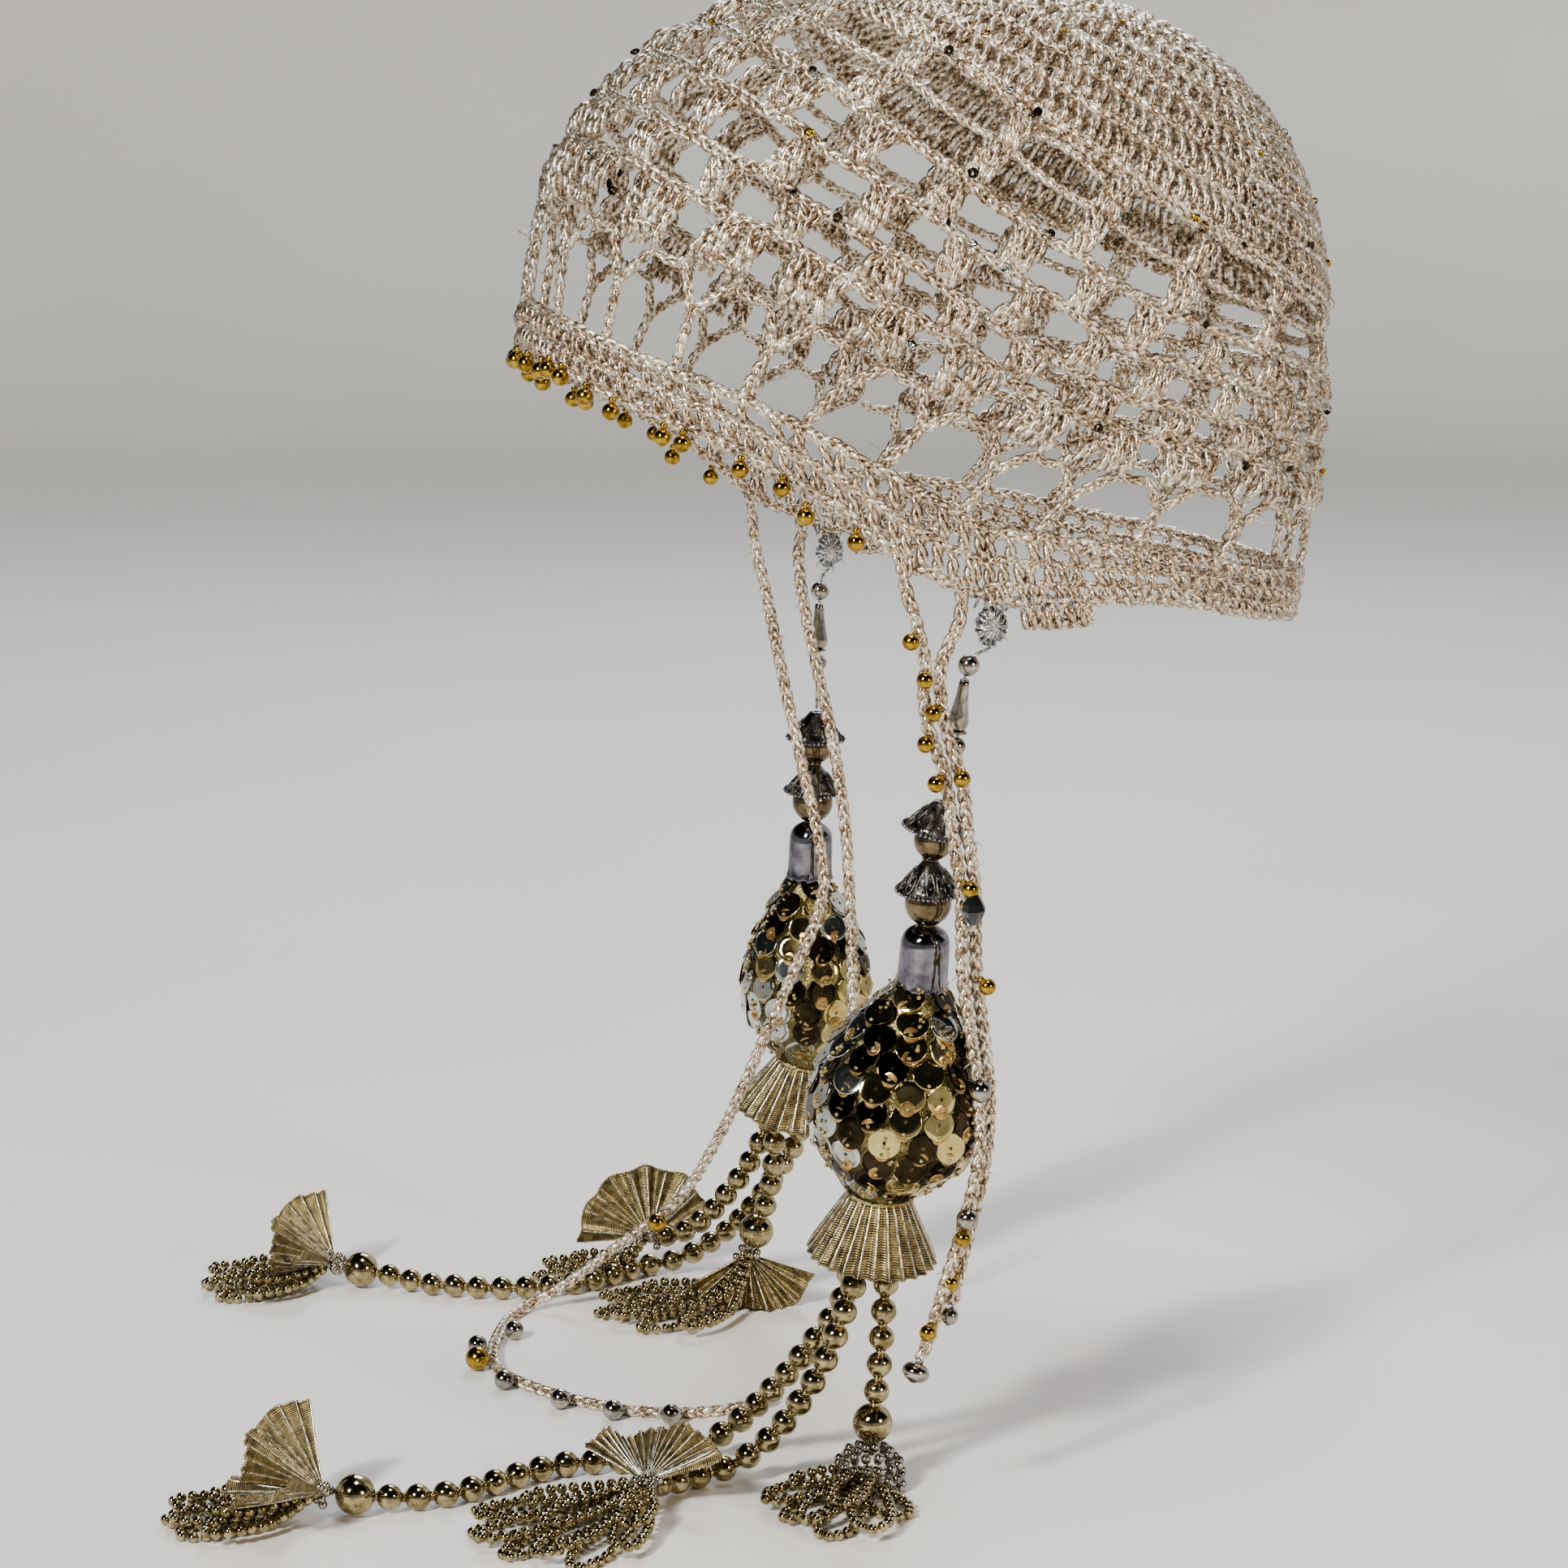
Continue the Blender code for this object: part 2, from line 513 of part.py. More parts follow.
def build_bands(turns):
    """Make the front band, the nape band and the small flaps, with corners under the net's."""
    gap_turn = math.degrees(SEAT_GAP / CAP_HALF_WIDTH)

    def band_top(turn):
        return brim_height(turn, "top") - 1.5 * SEAT_GAP

    def band_bottom(turn):
        return brim_height(turn, "bottom")

    def flap_top(turn):
        return brim_height(turn, "bottom") - SEAT_GAP

    def flap_bottom(turn):
        return flap_top(turn) - FLAP_DROP

    build_band("front_band", -BAND_SPLIT, BAND_SPLIT, turns, band_top, band_bottom)
    build_band("nape_band", BAND_SPLIT + gap_turn, 360.0 - BAND_SPLIT - gap_turn, turns,
               band_top, band_bottom)
    build_band("ear_flap_left", FLAP_START, FLAP_END, turns, flap_top, flap_bottom)
    build_band("ear_flap_right", -FLAP_END, -FLAP_START, turns, flap_top, flap_bottom)


# Turned and swept pieces

def smooth_route(points, spacing):
    """Read points at an even spacing from a smooth curve through the route's points."""
    route = [Vector(point) * MM for point in points]
    ends = [2.0 * route[0] - route[1]] + route + [2.0 * route[-1] - route[-2]]
    fine = []
    for place in range(1, len(ends) - 2):
        before, start, end, after = ends[place - 1:place + 3]
        for part in range(24):
            t = part / 24.0
            fine.append(0.5 * (2.0 * start + (end - before) * t
                               + (2.0 * before - 5.0 * start + 4.0 * end - after) * t * t
                               + (3.0 * start - before - 3.0 * end + after) * t * t * t))
    fine.append(route[-1])
    total = sum((b - a).length for a, b in zip(fine, fine[1:]))
    steps = max(2, round(total / spacing))
    return [point_along(fine, total * step / steps)[0] for step in range(steps + 1)]


def point_along(points, distance):
    """Give the place and the direction at a distance along a line of points."""
    for start, end in zip(points, points[1:]):
        length = (end - start).length
        if distance <= length or end is points[-1]:
            break
        distance -= length
    way = (end - start).normalized()
    return start + way * distance, way


def side_axes(way):
    """Give two directions square to a way, steady for ways that point down."""
    across = Vector((0.0, 1.0, 0.0)).cross(way)
    if across.length < 0.2:
        across = Vector((1.0, 0.0, 0.0)).cross(way)
    across.normalize()
    return across, way.cross(across)


def turned(name, line, start, profile, sides, surface, swell=None, closed=True):
    """Turn a profile of (distance, radius) round a line that starts at a distance along it.

    A straight piece has a line of two points. A closed profile ends on its axis.
    """
    vertices = []
    rings = []
    for distance, radius in profile:
        place, way = point_along(line, start + distance)
        across, up = side_axes(way)
        if radius == 0.0:
            rings.append([len(vertices)])
            vertices.append(place)
            continue
        ring = []
        for side in range(sides):
            angle = 2.0 * math.pi * side / sides
            reach = radius + (swell(side, radius) if swell else 0.0)
            ring.append(len(vertices))
            vertices.append(place + (across * math.cos(angle) + up * math.sin(angle)) * reach)
        rings.append(ring)
    faces = []
    pairs = list(zip(rings, rings[1:]))
    if not closed:
        pairs.append((rings[-1], rings[0]))
    for first, second in pairs:
        for side in range(sides):
            after = (side + 1) % sides
            if len(first) == 1:
                faces.append((first[0], second[side], second[after]))
            elif len(second) == 1:
                faces.append((first[side], second[0], first[after]))
            else:
                faces.append((first[side], second[side], second[after], first[after]))
    add_object(name, vertices, faces, surface)


def ball_profile(start, diameter, stretch=1.0, neck=0.0, steps=5):
    """Give the profile of a ball, or of a longer bead, that starts at a distance."""
    profile = []
    for step in range(steps + 1):
        angle = math.pi * step / steps
        radius = diameter / 2.0 * math.sin(angle)
        reach = start + diameter * stretch * (1.0 - math.cos(angle)) / 2.0
        profile.append((reach, max(radius, neck) if 0 < step < steps else neck))
    return profile


def chain_profile():
    """Give the profile of the thread with the small beads above the filigree caps."""
    thread = CHAIN_THREAD / 2.0
    profile = [(0.0, 0.0), (0.0, thread)]
    reach = CHAIN_THREAD_TOP
    profile += ball_profile(reach, CHAIN_BALL, neck=thread)
    reach += CHAIN_BALL + CHAIN_THREAD
    teardrop = CHAIN_BALL / 2.0
    profile += [(reach, teardrop * 0.4), (reach + CHAIN_TEARDROP * 0.45, teardrop * 0.62),
                (reach + CHAIN_TEARDROP * 0.82, teardrop), (reach + CHAIN_TEARDROP, teardrop * 0.66)]
    reach += CHAIN_TEARDROP + CHAIN_THREAD
    profile.append((reach, thread))
    profile += ball_profile(reach + CHAIN_THREAD, CHAIN_SMALL_BALL, neck=thread)[1:]
    reach += CHAIN_THREAD + CHAIN_SMALL_BALL + CHAIN_THREAD_LOW
    profile += [(reach, thread), (reach, 0.0)]
    return profile, reach


def filigree_profile():
    """Give the profile of a conical cap with a shallow seat for the ball below it."""
    low = FILIGREE_WIDTH / 2.0
    seat = FILIGREE_HEIGHT - FILIGREE_TUCK - SEAT_GAP
    return [(0.0, 0.0), (0.0, low * 0.22), (FILIGREE_HEIGHT * 0.55, low * 0.62),
            (FILIGREE_HEIGHT, low), (FILIGREE_HEIGHT, low - FILIGREE_WALL),
            (seat, low * 0.16), (seat, 0.0)]


def bell_profile():
    """Give the profile of the bell cup over the body's neck."""
    wide = BELL_WIDTH / 2.0
    wall = BELL_WALL
    return [(0.0, 0.0), (0.0, wide * 0.45), (BELL_HEIGHT * 0.12, wide * 0.82),
            (BELL_HEIGHT * 0.30, wide * 0.96), (BELL_HEIGHT, wide), (BELL_HEIGHT, wide - wall),
            (BELL_HEIGHT * 0.30, wide * 0.96 - wall), (BELL_HEIGHT * 0.12 + wall, wide * 0.72 - wall),
            (BELL_HEIGHT * 0.12 + wall, 0.0)]


def body_profile(width):
    """Give the profile of the sequinned teardrop, with the thread knot below it."""
    neck = (BELL_WIDTH / 2.0 - BELL_WALL) * math.cos(math.pi / TURNED_SIDES) - 2.0 * SEAT_GAP
    profile = [(0.0, 0.0), (0.0, neck), (BELL_TUCK, neck)]
    for row in BODY_PROFILE:
        profile.append((row["down"] * BODY_HEIGHT, row["wide"] * width / 2.0))
    bottom = BODY_HEIGHT + HUB_HEIGHT
    profile += [(BODY_HEIGHT, HUB_WIDTH / 2.0), (bottom, HUB_WIDTH / 2.0), (bottom, 0.0)]
    return profile


def pleat(side, radius):
    """Push every second side of a pleated piece in or out."""
    depth = PLEAT_DEPTH * min(1.0, radius / (SKIRT_WIDTH / 2.0))
    return depth if side % 2 else -depth


def chord(line, start, length):
    """Give the straight line between two distances along a route."""
    return [point_along(line, start)[0], point_along(line, start + length)[0]]


def build_drop(side, knot, points, width):
    """Hang a drop's pieces one below the other, from its knot along its line."""
    top = knot - Vector((0.0, 0.0, SEAT_GAP))
    line = smooth_route((top / MM,) + points, 1.5 * MM)
    profile, reach = chain_profile()
    turned(side + "_drop_chain", line, 0.0, profile, CHAIN_SIDES, SILVER)
    for order, ball in (("upper", UPPER_BALL), ("lower", LOWER_BALL)):
        reach += SEAT_GAP
        cap_line = chord(line, reach, FILIGREE_HEIGHT)
        turned(side + "_filigree_" + order, cap_line, 0.0, filigree_profile(), TURNED_SIDES, FILIGREE)
        reach += FILIGREE_HEIGHT - FILIGREE_TUCK
        turned(side + "_ball_" + order, chord(line, reach, ball), 0.0, ball_profile(0.0, ball),
               BEAD_SIDES, DARK_BRASS)
        reach += ball
    reach += SEAT_GAP
    turned(side + "_bell_cup", chord(line, reach, BELL_HEIGHT), 0.0, bell_profile(),
           TURNED_SIDES, SILVER)
    reach += BELL_HEIGHT - BELL_TUCK
    body_line = chord(line, reach, BODY_HEIGHT)
    turned(side + "_drop_body", body_line, 0.0, body_profile(width), BODY_SIDES, SEQUIN)
    reach += BODY_HEIGHT
    top = SKIRT_TOP_WIDTH / 2.0
    low = SKIRT_WIDTH / 2.0
    profile = [(0.0, top), (SKIRT_HEIGHT, low), (SKIRT_HEIGHT, low - SKIRT_WALL),
               (0.0, top - SKIRT_WALL)]
    turned(side + "_drop_skirt", chord(line, reach, SKIRT_HEIGHT), 0.0, profile, 2 * SKIRT_PLEATS,
           LAME, swell=pleat, closed=False)
    way = (body_line[1] - body_line[0]).normalized()
    return body_line[1] + way * (HUB_HEIGHT + SEAT_GAP), way


def string_start(hub, turn):
    """Give the first two points of a string below its hub, beside the other two."""
    place, way = hub
    angle = math.radians(turn)
    side = Vector((math.sin(angle), -math.cos(angle), 0.0))
    side = (side - way * side.dot(way)).normalized()
    head = place + side * (STRING_BEAD + SEAT_GAP) / math.sqrt(3.0)
    return [head, head + way * STRING_LEAD]


def build_cord(name, points, diameter, surface, spacing, start=(), end_bead=0.0):
    """Lay a tube along a route, with its own start and a larger end bead if it has them."""
    if start:
        places = start[:1] + smooth_route((start[1] / MM,) + points, spacing)
    else:
        places = smooth_route(points, spacing)
    radii = [1.0] * len(places)
    if end_bead:
        way = (places[-1] - places[-2]).normalized()
        centre = places[-1] + way * end_bead / 2.0
        for share in (-0.8, -0.35, 0.35, 0.8, 0.98):
            places.append(centre + way * end_bead / 2.0 * share)
            radii.append(math.sqrt(1.0 - share * share) * end_bead / diameter)
    curve = bpy.data.curves.new(name, "CURVE")
    curve.dimensions = "3D"
    curve.bevel_depth = diameter / 2.0
    curve.bevel_resolution = 2
    curve.render_resolution_u = 0
    curve.use_fill_caps = True
    spline = curve.splines.new("POLY")
    spline.points.add(len(places) - 1)
    for point, place, radius in zip(spline.points, places, radii):
        point.co = (*place, 1.0)
        point.radius = radius
    curve.materials.append(surface)
    piece = bpy.data.objects.new(name, curve)
    bpy.context.collection.objects.link(piece)
    return places


def bead_profile(width, shape):
    """Give a tie bead's profile, from its name for a shape."""
    if shape == "bicone":
        return [(0.0, 0.0), (0.0, width * 0.22), (CRYSTAL_LENGTH / 2.0, width / 2.0),
                (CRYSTAL_LENGTH, width * 0.22), (CRYSTAL_LENGTH, 0.0)]
    stretch = 0.72 if shape == "flat" else 1.0
    return ball_profile(0.0, width, stretch, steps=4)


def build_tie_bead(bead, cord):
    """Set a bead beside its cord, or below the cord's end."""
    profile = bead_profile(bead["width"], bead["shape"])
    half = profile[-1][0] / 2.0
    radius = bead["width"] / 2.0
    total = sum((b - a).length for a, b in zip(cord, cord[1:]))
    if "at" not in bead:
        place, way = point_along(cord, total)
        middle = place + way * (half + SEAT_GAP)
        lift = SURFACE + radius - middle.z
        if lift > 0.0:
            middle.z += lift
    else:
        place, way = point_along(cord, bead["at"] * MM)
        angle = math.radians(bead["turn"])
        side = Vector((math.sin(angle), -math.cos(angle), 0.0))
        side = (side - way * side.dot(way)).normalized()
        apart = CORD_DIAMETER / 2.0 + radius + SEAT_GAP
        lift = max(0.0, SURFACE + radius - place.z)
        middle = place + side * math.sqrt(apart ** 2 - lift ** 2) + Vector((0.0, 0.0, lift))
    line = [middle - way * half, middle + way * half]
    finish = CRYSTAL if bead["shape"] == "bicone" else SILVER
    if bead["name"] in ("far_gold_bead", "far_orange_bead"):
        finish = GOLD
    turned(bead["name"], line, 0.0, profile, BEAD_SIDES, finish)


def work_boolean(piece, tool, operation):
    """Join a closed tool to a piece, or cut it away, and take the tool out of the scene."""
    modifier = piece.modifiers.new(name=operation.lower(), type="BOOLEAN")
    modifier.operation = operation
    modifier.solver = "EXACT"
    modifier.object = tool
    graph = bpy.context.evaluated_depsgraph_get()
    worked = bpy.data.meshes.new_from_object(piece.evaluated_get(graph))
    piece.modifiers.remove(modifier)
    piece.data = worked
    bpy.data.objects.remove(tool)


def loop_strip(middle, target):
    """Make the outer form of one loop of beads, from inside a tassel's head to the surface."""
    way = Vector((target[0] * MM - middle.x, target[1] * MM - middle.y, 0.0))
    reach = way.length
    way.normalize()
    up = Vector((0.0, 0.0, 1.0))
    across = up.cross(way)
    low = SURFACE + LOOP_HEIGHT / 2.0
    vertices = []
    faces = []
    for share, size in LOOP_SECTIONS:
        centre = middle + way * reach * share
        if share:
            centre.z = low
        for side, tall in ((-1, -1), (1, -1), (1, 1), (-1, 1)):
            vertices.append(centre + across * LOOP_WIDTH / 2.0 * size * side
                            + up * LOOP_HEIGHT / 2.0 * tall)
    for section in range(len(LOOP_SECTIONS) - 1):
        for corner in range(4):
            after = (corner + 1) % 4
            first = section * 4
            faces.append((first + corner, first + after, first + 4 + after, first + 4 + corner))
    faces.append((3, 2, 1, 0))
    last = len(vertices) - 4
    faces.append((last, last + 1, last + 2, last + 3))
    return add_object("loop_strip", vertices, faces, LAME)


def surface_slab(middle):
    """Make a slab whose top is the surface, to cut a tassel's head flat where it lies."""
    half = Vector((LOOP_REACH, LOOP_REACH, LOOP_REACH / 2.0))
    centre = Vector((middle.x, middle.y, SURFACE + HEAD_LIFT - half.z))
    corners = [centre + Vector((half.x * x, half.y * y, half.z * z))
               for z in (-1, 1) for x, y in ((-1, -1), (1, -1), (1, 1), (-1, 1))]
    faces = [(3, 2, 1, 0), (4, 5, 6, 7)]
    faces += [(corner, (corner + 1) % 4, (corner + 1) % 4 + 4, corner + 4) for corner in range(4)]
    return add_object("surface_slab", corners, faces, LAME)


def build_tassel(tassel, string):
    """Make a pleated head below a string's end, and join its loops to it."""
    way = Vector(tassel["aim"]).normalized()
    end = (string[-1] - string[-2]).normalized()
    base = string[-1] + end * (SEAT_GAP + HEAD_TIP_WIDTH / 2.0)
    across, up = side_axes(way)
    length = tassel["length"] * MM
    reach = tassel["reach"] * MM
    profile = ((0.0, HEAD_TIP_WIDTH / 2.0), (0.62 * length, 0.74 * reach), (length, reach),
               (length, reach - HEAD_WALL), (length - HEAD_RECESS, 0.5 * reach))
    vertices = [base - way * HEAD_TIP_WIDTH / 2.0]
    rings = []
    for distance, radius in profile:
        flat = tassel["flat"] if distance else 1.0
        ring = []
        for side in range(BEAD_SIDES):
            angle = 2.0 * math.pi * (side + 0.5) / BEAD_SIDES
            out = (across * math.cos(angle) * flat + up * math.sin(angle)) * radius
            ring.append(len(vertices))
            vertices.append(base + way * distance + out)
        rings.append(ring)
    vertices.append(base + way * (length - HEAD_RECESS))
    faces = []
    for side in range(BEAD_SIDES):
        after = (side + 1) % BEAD_SIDES
        faces.append((0, rings[0][side], rings[0][after]))
        for first, second in zip(rings, rings[1:]):
            faces.append((first[side], second[side], second[after], first[after]))
        faces.append((rings[-1][side], len(vertices) - 1, rings[-1][after]))
    head = add_object(tassel["name"], vertices, faces, LAME)
    middle = base + way * length * LOOP_ROOT
    middle.z = max(middle.z, SURFACE + LOOP_HEIGHT)
    if min(place.z for place in vertices) < SURFACE + HEAD_LIFT:
        work_boolean(head, surface_slab(middle), "DIFFERENCE")
    for target in tassel["loops"]:
        work_boolean(head, loop_strip(middle, target), "UNION")


def build_knots():
    """Make the darned knots under the band that carry the drops; give their lower ends."""
    ends = []
    for side, turn in (("left", KNOT_TURN), ("right", -KNOT_TURN)):
        top = brim_height(turn, "bottom") - SEAT_GAP
        middle = side_point(turn, top - KNOT_LENGTH / 2.0, YARN_WALL / 2.0)
        work = bmesh.new()
        bmesh.ops.create_icosphere(work, subdivisions=2, radius=0.5)
        for vertex in work.verts:
            vertex.co = Vector((vertex.co.x * KNOT_DEPTH, vertex.co.y * KNOT_WIDTH,
                                vertex.co.z * KNOT_LENGTH)) + middle
        vertices = [vertex.co.copy() for vertex in work.verts]
        faces = [tuple(corner.index for corner in face.verts) for face in work.faces]
        work.free()
        add_object("ear_knot_" + side, vertices, faces, DARNING)
        ends.append(middle - Vector((0.0, 0.0, KNOT_LENGTH / 2.0)))
    return ends


build_bands(build_crown())
left_knot, right_knot = build_knots()
near_hub = build_drop("near", left_knot, NEAR_DROP_LINE, NEAR_BODY_WIDTH)
far_hub = build_drop("far", right_knot, FAR_DROP_LINE, FAR_BODY_WIDTH)
cords = {}
for cord_name, cord_route in (
        ("near_tie_front", NEAR_TIE_FRONT), ("near_tie_rear", NEAR_TIE_REAR),
        ("far_tie_front", FAR_TIE_FRONT), ("far_tie_rear", FAR_TIE_REAR)):
    cords[cord_name] = build_cord(cord_name, cord_route, CORD_DIAMETER, YARN, 3.0 * CORD_DIAMETER)
for tie_bead in TIE_BEADS:
    build_tie_bead(tie_bead, cords[tie_bead["cord"]])
strings = {}
for string_name, string_route, hub_end, hub_turn, end_size in (
        ("near_string_1", NEAR_STRING_1, near_hub, 180.0, LARGE_BEAD),
        ("near_string_2", NEAR_STRING_2, near_hub, -60.0, LARGE_BEAD),
        ("near_string_3", NEAR_STRING_3, near_hub, 60.0, 0.0),
        ("far_string_1", FAR_STRING_1, far_hub, 33.0, LARGE_BEAD),
        ("far_string_2", FAR_STRING_2, far_hub, -87.0, 0.0),
        ("far_string_3", FAR_STRING_3, far_hub, 153.0, LARGE_BEAD)):
    strings[string_name] = build_cord(string_name, string_route, STRING_BEAD, PALE_GOLD,
                                      3.0 * STRING_BEAD, string_start(hub_end, hub_turn), end_size)
for tassel_row in TASSELS:
    build_tassel(tassel_row, strings[tassel_row["string"]])
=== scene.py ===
"""Crochet headpiece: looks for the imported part, as an add-on that also runs as a script."""

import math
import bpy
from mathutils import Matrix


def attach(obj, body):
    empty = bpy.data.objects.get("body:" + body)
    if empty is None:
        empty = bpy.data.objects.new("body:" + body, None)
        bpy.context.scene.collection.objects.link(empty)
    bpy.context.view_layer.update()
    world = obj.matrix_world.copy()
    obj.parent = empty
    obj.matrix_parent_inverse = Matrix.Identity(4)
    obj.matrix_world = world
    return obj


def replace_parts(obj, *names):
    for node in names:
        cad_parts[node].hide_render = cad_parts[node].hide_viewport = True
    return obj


bl_info = {
    "name": "Crochet headpiece",
    "version": (1, 0, 0),
    "blender": (4, 5, 0),
    "location": "View3D > Sidebar > Headpiece",
    "description": "Builds the yarn, beads, sequins and stage of a crochet headpiece",
    "category": "Object",
}

import bpy
import numpy as np
from bpy.props import FloatProperty, FloatVectorProperty, IntProperty, PointerProperty
from mathutils import Matrix, Vector

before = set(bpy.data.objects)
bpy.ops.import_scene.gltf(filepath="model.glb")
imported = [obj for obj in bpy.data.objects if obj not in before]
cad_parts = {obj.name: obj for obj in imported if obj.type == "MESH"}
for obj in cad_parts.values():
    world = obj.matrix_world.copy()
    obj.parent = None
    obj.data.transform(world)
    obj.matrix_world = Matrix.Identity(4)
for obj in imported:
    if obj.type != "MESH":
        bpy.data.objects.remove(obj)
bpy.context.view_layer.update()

MM = 0.001
TAU = 2.0 * math.pi
SEAT_GAP = 0.3 * MM
SURFACE = -364.0 * MM
REST_LIFT = 0.05 * MM

# The cap's surface, as in the part
CAP_HALF_LENGTH = 97.8 * MM
CAP_HALF_WIDTH = 76.7 * MM
CROWN_RISE = 87.5 * MM
LOWER_REACH = 190.0 * MM
CAP_DROP = 154.0 * MM
PLAN_POWER = 2.2
UPPER_POWER = 2.45
LOWER_POWER = 2.0
CROWN_TILT = math.radians(39.8)
PATCH_REACH = math.radians(52.0)
PATCH_LEAN = math.radians(7.0)
FAN_COUNT = 17
SHELL_COUNT = 26
BRIM_TURN = (0, 15, 30, 45, 60, 72, 85, 105, 120, 140, 160, 180)
BRIM_TOP = (0.477, 0.500, 0.544, 0.594, 0.664, 0.727, 0.795, 0.821, 0.842, 0.884, 0.913, 0.922)
BRIM_BOTTOM = (0.565, 0.580, 0.629, 0.688, 0.773, 0.868, 0.912, 0.912, 0.920, 0.957, 0.987, 1.000)
BAND_SPLIT = 85.0
FLAP_DROP = 5.5 * MM
KNOT_TURN = 86.6
KNOT_LENGTH = 9.0 * MM
KNOT_WIDTH = 7.0 * MM
KNOT_DEPTH = 4.4 * MM

# Drops, as in the part
CHAIN_THREAD = 1.0 * MM
CHAIN_BALL = 5.1 * MM
CHAIN_TEARDROP = 12.0 * MM
CHAIN_SMALL_BALL = 4.6 * MM
CHAIN_THREAD_TOP = 4.6 * MM
CHAIN_THREAD_LOW = 11.0 * MM
FILIGREE_WIDTH = 15.6 * MM
FILIGREE_HEIGHT = 7.6 * MM
FILIGREE_TUCK = 2.6 * MM
UPPER_BALL = 9.6 * MM
LOWER_BALL = 11.2 * MM
BELL_WIDTH = 12.4 * MM
BELL_HEIGHT = 15.6 * MM
BELL_TUCK = 3.4 * MM
BODY_HEIGHT = 56.5 * MM
SKIRT_HEIGHT = 16.5 * MM
SKIRT_TOP_WIDTH = 14.0 * MM
SKIRT_WIDTH = 31.0 * MM
HUB_WIDTH = 9.4 * MM
HUB_HEIGHT = 6.0 * MM
BODY_WIDTH = {"near": 41.5 * MM, "far": 34.0 * MM}
BODY_DOWN = (0.0, 0.06, 0.22, 0.38, 0.54, 0.66, 0.80, 0.91, 0.965, 1.0)
BODY_WIDE = (0.22, 0.24, 0.60, 0.85, 0.985, 0.99, 0.84, 0.56, 0.36, 0.22)
STRING_BEAD = 6.6 * MM
LARGE_BEAD = 10.0 * MM
CORD_DIAMETER = 3.0 * MM
CRYSTAL_LENGTH = 7.0 * MM

